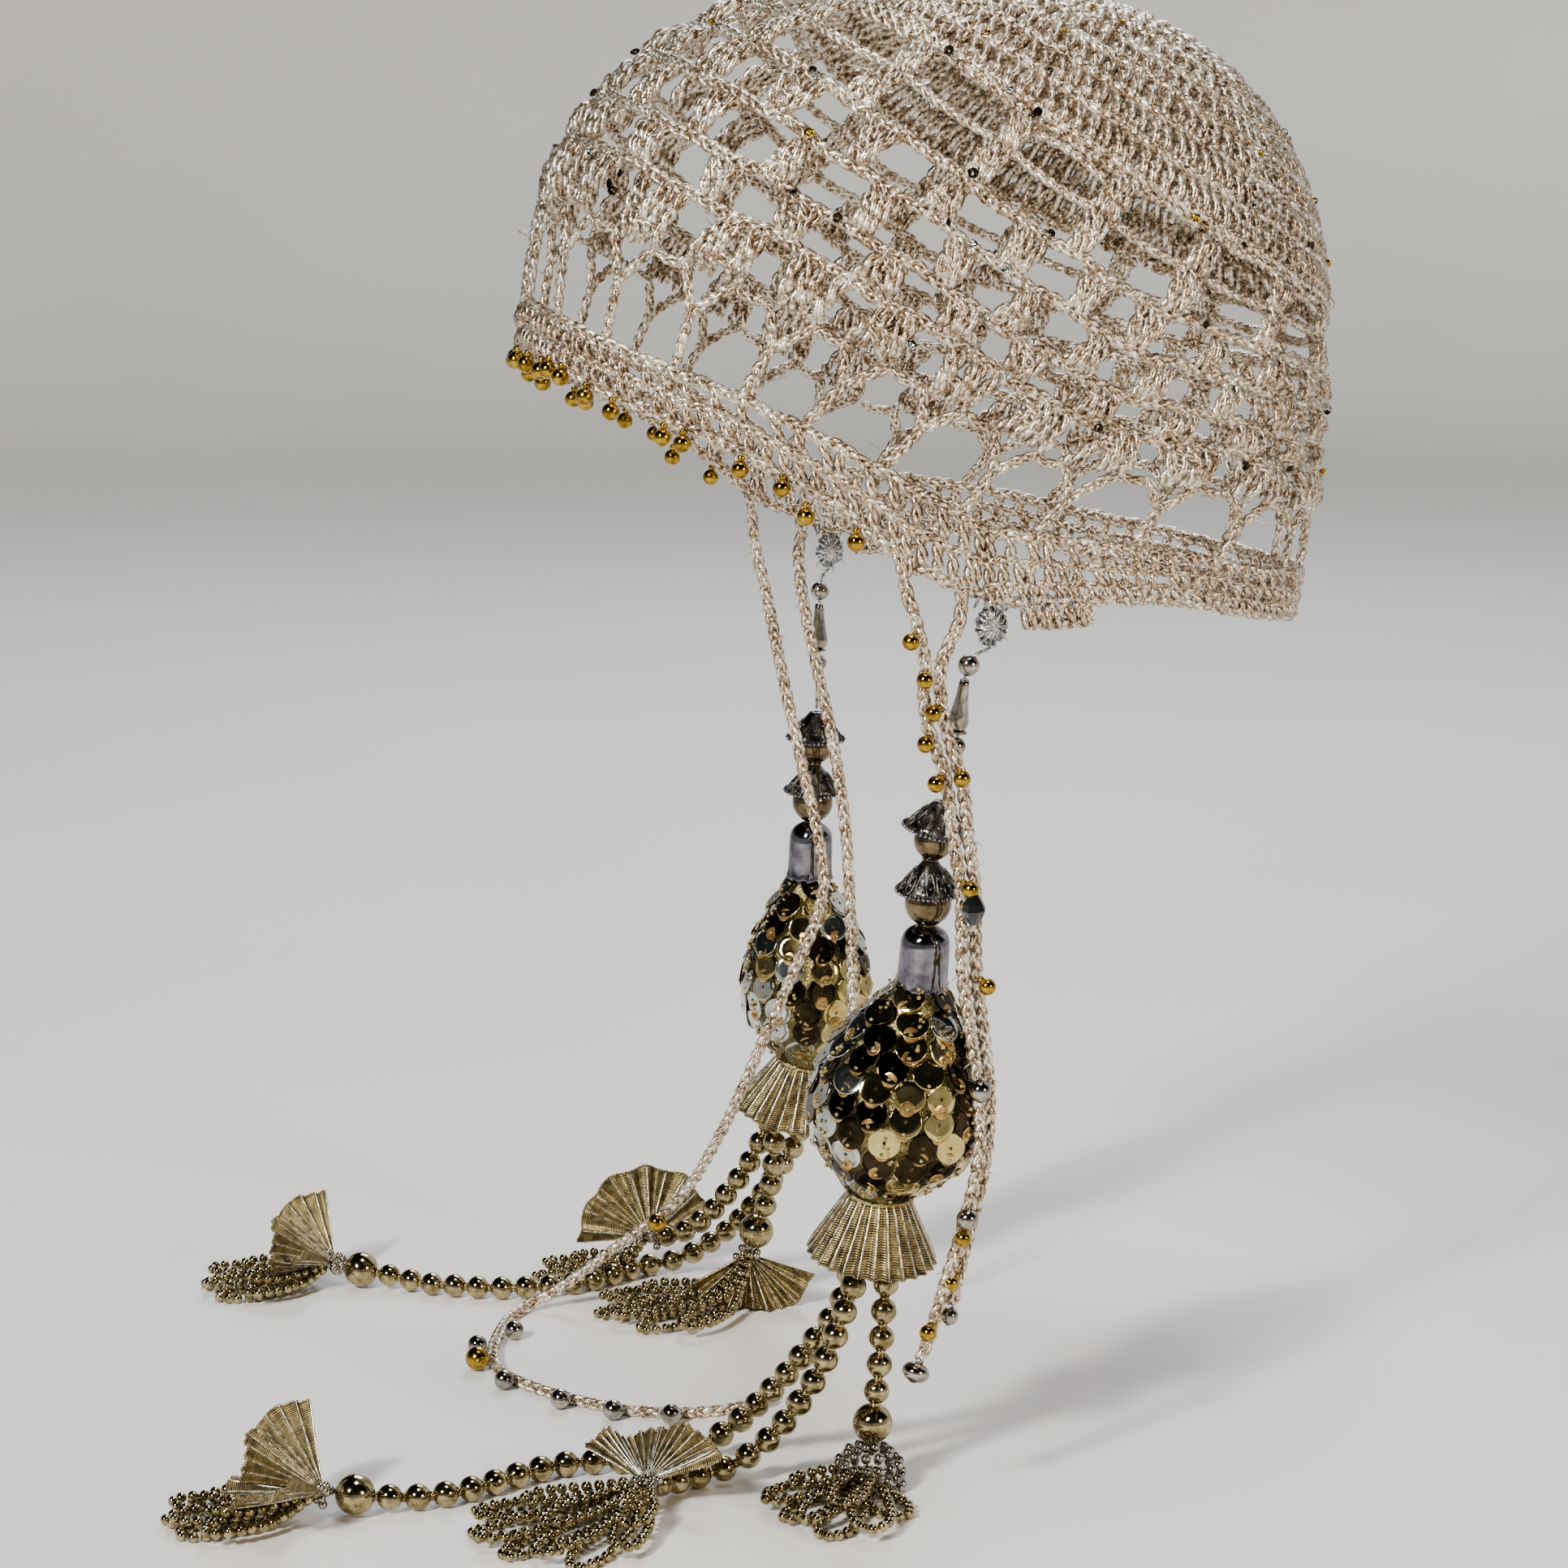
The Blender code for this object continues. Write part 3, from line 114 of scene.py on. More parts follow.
# Routes in millimetres, as in the part
ROUTES = {
    "near_tie_front": (
        (74.8, -25.8, -134.7), (76.6, -25.1, -138.8), (77.5, -23.7, -143.6), (77.8, -22.4, -148.9),
        (78.2, -21.6, -154.0), (78.6, -22.0, -160.0), (78.8, -21.2, -166.7), (79.0, -19.4, -172.8),
        (79.2, -17.2, -178.9), (79.2, -15.8, -185.8), (78.9, -15.1, -191.7), (78.3, -13.8, -198.6),
        (77.3, -12.2, -208.2), (76.4, -11.6, -218.6), (76.0, -11.1, -228.8), (75.9, -9.4, -240.8),
        (75.8, -7.4, -253.1), (75.8, -6.5, -265.3), (75.6, -7.0, -275.5), (75.4, -9.1, -285.4),
        (75.4, -11.9, -295.2), (75.4, -14.4, -303.0), (75.6, -16.6, -310.2), (75.9, -18.8, -317.0),
        (76.1, -21.0, -322.6)),
    "near_tie_rear": (
        (75.0, -11.8, -140.4), (76.8, -13.4, -145.4), (78.0, -16.0, -149.6), (78.9, -17.8, -153.8),
        (79.3, -18.2, -159.8), (79.5, -17.3, -166.7), (79.4, -15.5, -172.9), (79.3, -13.4, -179.0),
        (79.0, -12.0, -185.8), (78.5, -11.3, -191.7), (77.8, -10.1, -198.7), (76.4, -8.5, -208.1),
        (74.9, -7.9, -218.4), (73.9, -7.2, -228.5), (73.2, -5.5, -240.4), (72.8, -3.9, -252.5),
        (72.5, -3.2, -264.6), (72.3, -4.0, -274.6), (72.1, -5.9, -284.5), (72.1, -8.3, -294.3),
        (72.3, -10.6, -303.1), (72.6, -12.2, -310.6)),
    "far_tie_front": (
        (-74.8, -25.8, -134.7), (-76.4, -24.6, -144.0), (-75.4, -22.0, -156.0), (-72.0, -19.5, -172.0),
        (-67.8, -17.0, -188.0), (-64.2, -14.0, -205.0), (-61.6, -11.0, -220.0), (-60.0, -9.5, -235.1),
        (-59.5, -13.4, -248.6), (-59.5, -18.6, -259.6), (-60.0, -23.7, -271.4), (-62.0, -28.5, -283.6),
        (-66.0, -33.9, -298.5), (-71.0, -38.0, -309.7), (-77.0, -41.4, -319.4), (-83.4, -45.2, -327.6),
        (-89.0, -50.0, -334.3), (-94.0, -55.0, -339.8), (-98.0, -60.4, -345.2), (-101.2, -66.0, -350.6),
        (-103.6, -71.6, -355.4), (-104.8, -78.0, -359.6), (-103.4, -85.0, -362.2), (-93.6, -92.0, -362.5),
        (-78.6, -97.7, -362.5), (-65.4, -100.8, -362.5), (-53.6, -100.9, -362.5), (-43.4, -97.3, -362.5),
        (-34.2, -91.8, -362.5), (-25.0, -84.6, -362.5), (-16.8, -76.0, -362.5), (-11.4, -66.6, -362.5),
        (-9.2, -56.8, -362.5), (-9.6, -48.0, -362.5), (-12.0, -40.0, -362.5)),
    "far_tie_rear": (
        (-75.0, -11.8, -140.4), (-74.8, -12.9, -148.4), (-71.6, -11.8, -162.0), (-67.2, -9.4, -178.0),
        (-63.6, -6.4, -195.0), (-61.0, -3.8, -215.0), (-60.0, -2.4, -235.4), (-59.5, -2.0, -251.1),
        (-59.5, -1.6, -264.9), (-59.5, -1.2, -277.9), (-59.5, -0.9, -292.1), (-59.5, -0.8, -305.9),
        (-59.5, -0.9, -318.0), (-59.5, -1.2, -328.0)),
    "near_string_1": (
        (53.6, -22.9, -305.7), (53.2, -23.4, -313.4), (52.7, -23.8, -321.0),
        (52.1, -24.2, -329.0), (51.5, -24.7, -336.2), (51.0, -25.2, -341.8)),
    "near_string_2": (
        (49.6, -30.8, -306.0), (48.0, -32.9, -315.6), (45.0, -35.6, -322.0),
        (42.0, -39.0, -328.2), (38.0, -42.1, -334.5), (33.5, -45.7, -341.1), (28.5, -49.5, -347.6),
        (23.8, -54.0, -354.0), (21.0, -59.4, -358.8), (21.0, -65.4, -360.6), (23.4, -73.1, -360.7),
        (24.8, -80.4, -360.7), (24.4, -86.9, -360.7), (23.5, -93.4, -360.7), (24.5, -100.8, -360.7),
        (27.6, -108.9, -360.7), (31.7, -116.7, -360.7), (35.2, -124.4, -360.7), (37.0, -131.4, -360.7),
        (37.2, -136.6, -360.6), (37.3, -141.8, -360.2), (37.3, -147.1, -359.3)),
    "near_string_3": (
        (56.8, -31.4, -306.0), (55.6, -34.1, -315.2), (54.0, -35.9, -321.7),
        (52.0, -38.2, -329.1), (50.0, -41.0, -335.7), (47.5, -44.4, -342.2), (44.4, -48.2, -348.8),
        (41.0, -52.6, -354.6), (38.8, -58.2, -359.0), (38.6, -64.0, -360.6), (41.2, -70.4, -360.6),
        (45.6, -76.4, -359.6), (49.4, -81.0, -357.6)),
    "far_string_1": (
        (-84.2, -16.8, -308.0), (-85.4, -17.0, -314.5), (-87.6, -16.8, -321.0),
        (-90.2, -16.9, -327.4), (-92.2, -17.4, -332.6), (-93.7, -18.7, -337.6)),
    "far_string_2": (
        (-93.4, -15.4, -308.0), (-96.0, -19.8, -319.0), (-98.8, -23.0, -326.0),
        (-102.0, -26.6, -332.4), (-106.5, -30.6, -339.4), (-111.4, -35.0, -345.0), (-116.0, -39.4, -348.2),
        (-120.0, -43.4, -349.6)),
    "far_string_3": (
        (-88.4, -7.6, -308.0), (-94.5, -9.8, -319.0), (-101.5, -13.8, -329.5),
        (-109.0, -17.5, -339.0), (-116.0, -22.0, -347.0), (-122.5, -28.0, -354.0), (-127.0, -34.0, -358.8),
        (-128.6, -40.6, -360.6), (-127.2, -47.0, -360.7), (-123.2, -54.0, -360.7), (-119.0, -61.4, -360.7),
        (-116.8, -68.8, -360.7), (-116.0, -75.6, -360.7), (-116.2, -82.4, -360.7), (-117.2, -89.2, -360.7),
        (-119.4, -95.4, -360.7), (-122.4, -101.6, -360.7), (-125.6, -108.0, -360.7),
        (-129.6, -112.9, -360.6), (-133.0, -117.6, -360.1), (-135.4, -122.5, -359.3)),
    "near_drop": (
        (73.8, -9.9, -155.4), (70.8, -12.0, -176.0), (67.4, -16.4, -199.0),
        (65.2, -16.5, -216.0), (64.0, -16.9, -221.0), (62.4, -17.6, -235.8), (55.4, -26.6, -292.0),
        (52.6, -26.0, -310.5)),
    "far_drop": (
        (-75.2, -6.6, -155.4), (-76.6, -6.8, -176.0), (-78.2, -7.2, -199.0),
        (-79.6, -7.6, -216.0), (-80.0, -7.7, -221.0), (-81.2, -8.0, -235.8), (-85.2, -8.8, -292.0),
        (-88.4, -13.2, -310.5)),
}

# Beads on the ties: distance along the cord and turn from the front, as in the part
TIE_BEADS = (
    dict(name="near_crystal", cord="near_tie_front", at=78.6, turn=110, width=6.0, look="crystal"),
    dict(name="near_silver_bead", cord="near_tie_front", at=123.4, turn=80, width=5.4, look="silver"),
    dict(name="near_silver_ball", cord="near_tie_front", at=155.5, turn=76, width=5.4, look="silver"),
    dict(name="near_end_ball", cord="near_tie_rear", width=4.4, look="silver"),
    dict(name="near_wide_end_ball", cord="near_tie_front", width=6.8, look="silver", stretch=0.72),
    dict(name="far_orange_bead", cord="far_tie_front", at=216.0, turn=76, width=5.4, look="gold"),
    dict(name="far_silver_bead_1", cord="far_tie_front", at=291.0, turn=180, width=5.4, look="silver"),
    dict(name="far_silver_bead_2", cord="far_tie_front", at=303.5, turn=30, width=5.4, look="silver"),
    dict(name="far_gold_bead", cord="far_tie_front", at=315.5, turn=40, width=6.6, look="gold"),
    dict(name="far_silver_bead_3", cord="far_tie_front", at=331.0, turn=60, width=5.4, look="silver"),
    dict(name="far_silver_bead_4", cord="far_tie_front", at=351.5, turn=60, width=5.4, look="silver"),
    dict(name="far_silver_bead_5", cord="far_tie_front", at=367.0, turn=76, width=5.4, look="silver"),
    dict(name="far_silver_bead_6", cord="far_tie_front", at=381.0, turn=76, width=5.4, look="silver"),
    dict(name="far_end_ball", cord="far_tie_front", width=4.4, look="silver"),
)

rng = np.random.default_rng(11)


# Geometry

class Skein:
    """Collect tubes, beads and sheets, and turn them into one mesh."""

    def __init__(self):
        self.points = []
        self.quads = []
        self.uvs = []
        self.slots = []
        self.count = 0

    def grid(self, points, rows, columns, wrap, slot=0, lengths=None):
        """Add a grid of points as quads; wrap joins its last column to its first."""
        wide = columns if wrap else columns - 1
        row = np.arange(rows - 1)[:, None]
        column = np.arange(wide)[None, :]
        after = (column + 1) % columns
        a = row * columns + column
        b = row * columns + after
        quads = np.stack([a, b, b + columns, a + columns], axis=-1).reshape(-1, 4)
        if lengths is None:
            lengths = np.arange(rows) * MM
        u0 = np.broadcast_to(column / wide, (rows - 1, wide))
        u1 = np.broadcast_to((column + 1) / wide, (rows - 1, wide))
        v0 = np.broadcast_to(lengths[:-1, None], (rows - 1, wide)) / MM
        v1 = np.broadcast_to(lengths[1:, None], (rows - 1, wide)) / MM
        uvs = np.stack([np.stack([u0, v0], -1), np.stack([u1, v0], -1),
                        np.stack([u1, v1], -1), np.stack([u0, v1], -1)], axis=2).reshape(-1, 2)
        self.points.append(points.reshape(-1, 3))
        self.quads.append(quads + self.count)
        self.uvs.append(uvs)
        self.slots.append(np.full(len(quads), slot))
        self.count += rows * columns

    def tube(self, path, side, radius, sides=5, slot=0):
        """Add a tube along a path, with its ends drawn in."""
        way = unit(np.gradient(path, axis=0))
        first = unit(side - (side * way).sum(1, keepdims=True) * way)
        second = np.cross(way, first)
        angle = np.arange(sides) * TAU / sides
        reach = np.full(len(path), radius) if np.isscalar(radius) else radius.copy()
        reach[0] *= 0.25
        reach[-1] *= 0.25
        ring = first[:, None] * np.cos(angle)[None, :, None] + second[:, None] * np.sin(angle)[None, :, None]
        self.grid(path[:, None] + ring * reach[:, None, None], len(path), sides, True, slot, along(path))

    def turned(self, place, way, profile, sides, slot=0, shape=None):
        """Turn a profile of (distance, radius) round a straight axis."""
        way = unit(np.asarray(way, float))
        across, up = axes_for(way)
        angle = np.arange(sides) * TAU / sides
        profile = np.asarray(profile, float)
        reach = np.repeat(profile[:, 1][:, None], sides, 1)
        depth = np.repeat(profile[:, 0][:, None], sides, 1)
        if shape:
            reach, depth = shape(angle[None, :], reach, depth)
        points = (place + depth[..., None] * way
                  + reach[..., None] * (np.cos(angle)[None, :, None] * across
                                        + np.sin(angle)[None, :, None] * up))
        self.grid(points, len(profile), sides, True, slot, profile[:, 0])

    def ball(self, centre, width, way=(0, 0, 1), sides=16, slot=0, stretch=1.0):
        """Add a round bead on an axis."""
        rows = sides // 2 + 1
        angle = np.linspace(0.02, math.pi - 0.02, rows)
        profile = np.stack([-np.cos(angle) * stretch, np.sin(angle)], 1) * width / 2.0
        self.turned(np.asarray(centre, float), way, profile, sides, slot)

    def make(self, name, surfaces, smooth=True):
        """Build the mesh object and let it ride on the part."""
        points = np.concatenate(self.points)
        # What lies down rests on the surface
        points[:, 2] = np.maximum(points[:, 2], SURFACE + REST_LIFT)
        quads = np.concatenate(self.quads)
        mesh = bpy.data.meshes.new(name)
        mesh.vertices.add(len(points))
        mesh.vertices.foreach_set("co", points.ravel())
        mesh.loops.add(quads.size)
        mesh.loops.foreach_set("vertex_index", quads.ravel())
        mesh.polygons.add(len(quads))
        mesh.polygons.foreach_set("loop_start", np.arange(len(quads)) * 4)
        mesh.polygons.foreach_set("material_index", np.concatenate(self.slots))
        mesh.polygons.foreach_set("use_smooth", np.full(len(quads), smooth))
        layer = mesh.uv_layers.new(name="strand")
        layer.data.foreach_set("uv", np.concatenate(self.uvs).ravel())
        mesh.update(calc_edges=True)
        mesh.validate()
        for surface in surfaces:
            mesh.materials.append(surface)
        piece = bpy.data.objects.new(name, mesh)
        bpy.context.scene.collection.objects.link(piece)
        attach(piece, "root")
        return piece


def unit(vectors):
    """Scale vectors to length one."""
    return vectors / np.maximum(np.linalg.norm(vectors, axis=-1, keepdims=True), 1e-12)


def along(path):
    """Give the distance along a path at each of its points."""
    return np.concatenate([[0.0], np.cumsum(np.linalg.norm(np.diff(path, axis=0), axis=1))])


def resample(path, spacing):
    """Read points at an even spacing along a path."""
    reach = along(path)
    steps = max(3, int(round(reach[-1] / spacing)) + 1)
    even = np.linspace(0.0, reach[-1], steps)
    return np.stack([np.interp(even, reach, path[:, axis]) for axis in range(3)], 1)


def axes_for(way):
    """Give two directions square to a way, steady for ways that point down."""
    across = np.cross((0.0, 1.0, 0.0), way)
    if np.linalg.norm(across) < 0.2:
        across = np.cross((1.0, 0.0, 0.0), way)
    across = unit(across)
    return across, np.cross(way, across)


def smooth_route(points, spacing):
    """Read points at an even spacing from a smooth curve through a route's points."""
    route = np.asarray(points, float) * MM
    ends = np.vstack([2.0 * route[0] - route[1], route, 2.0 * route[-1] - route[-2]])
    parts = []
    t = (np.arange(24) / 24.0)[:, None]
    for place in range(1, len(ends) - 2):
        before, start, end, after = ends[place - 1:place + 3]
        parts.append(0.5 * (2.0 * start + (end - before) * t
                            + (2.0 * before - 5.0 * start + 4.0 * end - after) * t * t
                            + (3.0 * start - before - 3.0 * end + after) * t ** 3))
    fine = np.vstack(parts + [route[-1:]])
    return resample(fine, spacing)


def point_along(path, distance):
    """Give the place and the way at a distance along a path."""
    reach = along(path)
    place = np.array([np.interp(distance, reach, path[:, axis]) for axis in range(3)])
    index = min(max(int(np.searchsorted(reach, distance)), 1), len(path) - 1)
    return place, unit(path[index] - path[index - 1])


def plan_size(x, y):
    """Give how far out a point stands in plan, with 1 on the cap's widest line."""
    wide = np.abs(x / CAP_HALF_WIDTH) ** PLAN_POWER
    return (wide + np.abs(y / CAP_HALF_LENGTH) ** PLAN_POWER) ** (1.0 / PLAN_POWER)


def cap_surface(heading, lift):
    """Find points on the cap's inner surface along headings, lifted outward, and the way out."""
    high = heading[:, 2] > 0.0
    power = np.where(high, UPPER_POWER, LOWER_POWER)
    rise = np.where(high, CROWN_RISE, LOWER_REACH)
    size = (plan_size(heading[:, 0], heading[:, 1]) ** power
            + np.abs(heading[:, 2] / rise) ** power) ** (1.0 / power)
    out = unit(heading)
    lift = np.broadcast_to(lift, len(heading))
    points = heading / size[:, None] + out * lift[:, None]
    points[:, 2] -= CROWN_RISE
    return points, out


def net_heading(turn, bend):
    """Give headings at an angle from the pole, turned from the front round it."""
    pole = np.array((0.0, math.sin(CROWN_TILT), math.cos(CROWN_TILT)))
    forward = np.array((0.0, -math.cos(CROWN_TILT), math.sin(CROWN_TILT)))
    across = np.outer(np.cos(turn), forward) + np.outer(np.sin(turn), (1.0, 0.0, 0.0))
    return np.outer(np.cos(bend), pole) + across * np.sin(bend)[:, None]


def brim_height(turn, shares):
    """Read an edge of the band at turns from the front, as heights."""
    angle = np.abs((np.asarray(turn, float) + 180.0) % 360.0 - 180.0)
    return -CAP_DROP * np.interp(angle, BRIM_TURN, shares)


def patch_edge(turn):
    """Give the dense patch's reach from the pole."""
    return PATCH_REACH + PATCH_LEAN * np.cos(turn)


def band_table():
    """Find the angle from the pole at which the net meets the band, once round."""
    turn = np.linspace(0.0, TAU, 721)
    low = patch_edge(turn)
    high = np.full(len(turn), math.radians(150.0))
    for _ in range(40):
        middle = (low + high) / 2.0
        points, _ = cap_surface(net_heading(turn, middle), 0.0)
        azimuth = np.degrees(np.arctan2(points[:, 0], -points[:, 1]))
        above = points[:, 2] > brim_height(azimuth, BRIM_TOP)
        low = np.where(above, middle, low)
        high = np.where(above, high, middle)
    return turn, low


BAND_TURN, BAND_BEND = band_table()


def net_path(turn, share, lift, spacing=1.35 * MM):
    """Lay a path on the net: share runs from -1 at the pole over 0 at the patch to 1 at the band."""
    turn = np.asarray(turn, float)
    share = np.broadcast_to(np.asarray(share, float), turn.shape)
    edge = patch_edge(turn)
    bend = np.where(share < 0.0, edge * (1.0 + share),
                    edge + share * (np.interp(turn % TAU, BAND_TURN, BAND_BEND) - edge))
    points, _ = cap_surface(net_heading(turn, bend), np.broadcast_to(lift, turn.shape))
    return resample(points, spacing)


def band_path(turn, share, lift, spacing=1.1 * MM):
    """Lay a path on the band: turn in degrees, share from 0 at its top to 1 at its bottom."""
    turn = np.asarray(turn, float)
    share = np.broadcast_to(np.asarray(share, float), turn.shape)
    top = brim_height(turn, BRIM_TOP)
    bottom = brim_height(turn, BRIM_BOTTOM)
    height = np.where(share <= 1.0, top + (bottom - top) * share,
                      bottom - (share - 1.0) * FLAP_DROP)
    angle = np.radians(turn)
    across = np.stack([np.sin(angle), -np.cos(angle)], 1)
    level = height + CROWN_RISE
    power = np.where(level > 0.0, UPPER_POWER, LOWER_POWER)
    rise = np.where(level > 0.0, CROWN_RISE, LOWER_REACH)
    reach = (1.0 - np.abs(level / rise) ** power) ** (1.0 / power) / plan_size(across[:, 0], across[:, 1])
    heading = np.column_stack([across * reach[:, None], level])
    points = heading + unit(heading) * np.broadcast_to(lift, turn.shape)[:, None]
    points[:, 2] -= CROWN_RISE
    return resample(points, spacing)


def outward(path):
    """Give the way out of the cap at points near it."""
    return unit(path - np.array((0.0, 0.0, -CROWN_RISE)))


def plait(skein, path, side, width, plies=3, sides=4, cycle=3.4, slot=0):
    """Work a chain of plies along a path, each crossing over the others."""
    reach = along(path)
    way = unit(np.gradient(path, axis=0))
    out = unit(side - (side * way).sum(1, keepdims=True) * way)
    across = np.cross(way, out)
    start = rng.uniform(0.0, TAU)
    for ply in range(plies):
        phase = reach / (width * cycle) * TAU + ply * TAU / plies + start
        swing = np.sin(phase)[:, None] * width * 0.30
        rise = np.sin(2.0 * phase)[:, None] * width * 0.17
        # A ply swells where it comes to the front of the chain
        thick = width * (0.235 + 0.045 * np.sin(2.0 * phase + 0.5))
        skein.tube(path + across * swing + out * rise, out, thick, sides, slot)


def twist(skein, path, side, width, plies=2, sides=4, cycle=2.6, slot=0):
    """Twist plies round each other along a path."""
    reach = along(path)
    way = unit(np.gradient(path, axis=0))
    out = unit(side - (side * way).sum(1, keepdims=True) * way)
    across = np.cross(way, out)
    start = rng.uniform(0.0, TAU)
    for ply in range(plies):
        phase = reach / (width * cycle) * TAU + ply * TAU / plies + start
        offset = (np.cos(phase)[:, None] * across + np.sin(phase)[:, None] * out) * width * 0.23
        skein.tube(path + offset, out, width * 0.29, sides, slot)


# Materials

def linear(code):
    """Turn an sRGB hex colour into linear values."""
    values = [int(code[place:place + 2], 16) / 255.0 for place in (1, 3, 5)]
    return tuple(v / 12.92 if v <= 0.04045 else ((v + 0.055) / 1.055) ** 2.4 for v in values) + (1.0,)


def add_node(tree, kind, settings=(), links=()):
    """Add a node, set its inputs or properties, and link its inputs from other sockets."""
    made = tree.nodes.new(kind)
    for name, value in dict(settings).items():
        if isinstance(name, int) or name in made.inputs:
            made.inputs[name].default_value = value
        else:
            setattr(made, name, value)
    for name, socket in dict(links).items():
        tree.links.new(socket, made.inputs[name])
    return made


def new_material(name, settings):
    """Start a material and set the shader's own sockets."""
    made = bpy.data.materials.new(name)
    made.use_nodes = True
    shader = made.node_tree.nodes["Principled BSDF"]
    for socket, value in settings.items():
        shader.inputs[socket].default_value = value
    return made, made.node_tree, shader


def ramp(tree, factor, stops):
    """Add a colour ramp with stops of (place, hex colour)."""
    made = add_node(tree, "ShaderNodeValToRGB", links={"Fac": factor})
    elements = made.color_ramp.elements
    while len(elements) < len(stops):
        elements.new(0.5)
    for element, (place, code) in zip(elements, stops):
        element.position = place
        element.color = linear(code)
    return made.outputs["Color"]


def yarn_material(name, stops, metallic, rough):
    """Yarn of metallised film and rayon: silky fibres along each ply, brown and silver streaks; the darkest
    stop is partly painted shade, the palest a painted highlight.
    """
    made, tree, shader = new_material(name, {"Metallic": metallic, "Roughness": rough})
    place = add_node(tree, "ShaderNodeTexCoord")
    strand = add_node(tree, "ShaderNodeUVMap", {"uv_map": "strand"})
    # Fibres run along the ply: about three round it, each near 1.5 mm long
    stretched = add_node(tree, "ShaderNodeMapping", {"Scale": (1.4, 0.30, 1.0)},
                         {"Vector": strand.outputs["UV"]})
    fibre = add_node(tree, "ShaderNodeTexNoise", {"Scale": 2.2, "Detail": 4.0, "Roughness": 0.7},
                     {"Vector": stretched.outputs["Vector"]})
    # Lots of yarn dyed apart: patches about 9 mm wide lean a little towards champagne or brown
    dye = add_node(tree, "ShaderNodeTexNoise", {"Scale": 1.0 / (9.0 * MM), "Detail": 5.0, "Roughness": 0.72},
                   {"Vector": place.outputs["Object"]})
    mixed = add_node(tree, "ShaderNodeMath", {"operation": "MULTIPLY_ADD", 1: 0.78},
                     {0: fibre.outputs["Fac"]})
    scaled = add_node(tree, "ShaderNodeMath", {"operation": "MULTIPLY", 1: 0.22}, {0: dye.outputs["Fac"]})
    tree.links.new(scaled.outputs["Value"], mixed.inputs[2])
    # The ramp runs from near-black brown through the body colour to a near-white glint: its dark end is
    # partly painted shade, its pale end a painted highlight, laid on the fibre streaks
    tree.links.new(ramp(tree, mixed.outputs["Value"], stops), shader.inputs["Base Color"])
    # Film glints where a fibre lies flat: roughness falls in fine streaks
    gloss = add_node(tree, "ShaderNodeMapRange", {"From Min": 0.35, "From Max": 0.65,
                                                  "To Min": rough - 0.16, "To Max": rough + 0.14},
                     {"Value": fibre.outputs["Fac"]})
    tree.links.new(gloss.outputs["Result"], shader.inputs["Roughness"])
    bump = add_node(tree, "ShaderNodeBump", {"Strength": 0.8, "Distance": 0.3 * MM},
                    {"Height": fibre.outputs["Fac"]})
    tree.links.new(bump.outputs["Normal"], shader.inputs["Normal"])
    return made


def metal_material(name, light, dark, rough, size, metallic=1.0, bumpy=0.0):
    """Plated or metallised surface: tarnish in patches of a given size, faint unevenness."""
    made, tree, shader = new_material(name, {"Metallic": metallic, "Roughness": rough})
    place = add_node(tree, "ShaderNodeTexCoord")
    noise = add_node(tree, "ShaderNodeTexNoise", {"Scale": 1.0 / size, "Detail": 5.0, "Roughness": 0.65},
                     {"Vector": place.outputs["Object"]})
    tree.links.new(ramp(tree, noise.outputs["Fac"], ((0.36, dark), (0.62, light))),
                   shader.inputs["Base Color"])
    worn = add_node(tree, "ShaderNodeMapRange", {"From Min": 0.3, "From Max": 0.7,
                                                 "To Min": rough * 0.6, "To Max": rough * 1.7},
                    {"Value": noise.outputs["Fac"]})
    tree.links.new(worn.outputs["Result"], shader.inputs["Roughness"])
    if bumpy:
        bump = add_node(tree, "ShaderNodeBump", {"Strength": bumpy, "Distance": 0.3 * MM},
                        {"Height": noise.outputs["Fac"]})
        tree.links.new(bump.outputs["Normal"], shader.inputs["Normal"])
    return made


def lame_material(name, ridge, face, painted_glint):
    """Pleated lame: woven bars of metal thread across each pleat; its dark face colour is partly painted
    shade and its palest stop a painted highlight.
    """
    made, tree, shader = new_material(name, {"Metallic": 0.9, "Roughness": 0.32})
    strand = add_node(tree, "ShaderNodeUVMap", {"uv_map": "strand"})
    place = add_node(tree, "ShaderNodeTexCoord")
    # Bars of thread every 0.55 mm down the pleat
    bars = add_node(tree, "ShaderNodeTexWave", {"bands_direction": "Y", "Scale": 0.314 / 0.55,
                                                "Distortion": 1.2, "Detail": 2.0, "Detail Scale": 2.0},
                    {"Vector": strand.outputs["UV"]})
    noise = add_node(tree, "ShaderNodeTexNoise", {"Scale": 1.0 / (2.4 * MM), "Detail": 4.0},
                     {"Vector": place.outputs["Object"]})
    woven = add_node(tree, "ShaderNodeMath", {"operation": "MULTIPLY_ADD", 1: 0.45, 2: 0.0},
                     {0: bars.outputs["Fac"]})
    tree.links.new(noise.outputs["Fac"], woven.inputs[2])
    # Dark faces are partly painted shade; the glint stop is a painted highlight on the woven bars
    tree.links.new(ramp(tree, woven.outputs["Value"], ((0.42, face), (0.72, ridge), (0.92, painted_glint))),
                   shader.inputs["Base Color"])
    bump = add_node(tree, "ShaderNodeBump", {"Strength": 0.6, "Distance": 0.2 * MM},
                    {"Height": bars.outputs["Fac"]})
    tree.links.new(bump.outputs["Normal"], shader.inputs["Normal"])
    return made


def crystal_material():
    """Dark faceted glass: near black body with a clear gloss."""
    made, _, _ = new_material("dark_faceted_glass", {"Base Color": linear("#17181c"), "Roughness": 0.04,
                                                     "IOR": 1.54, "Metallic": 0.35, "Coat Weight": 0.6})
    return made


LOOKS = {}


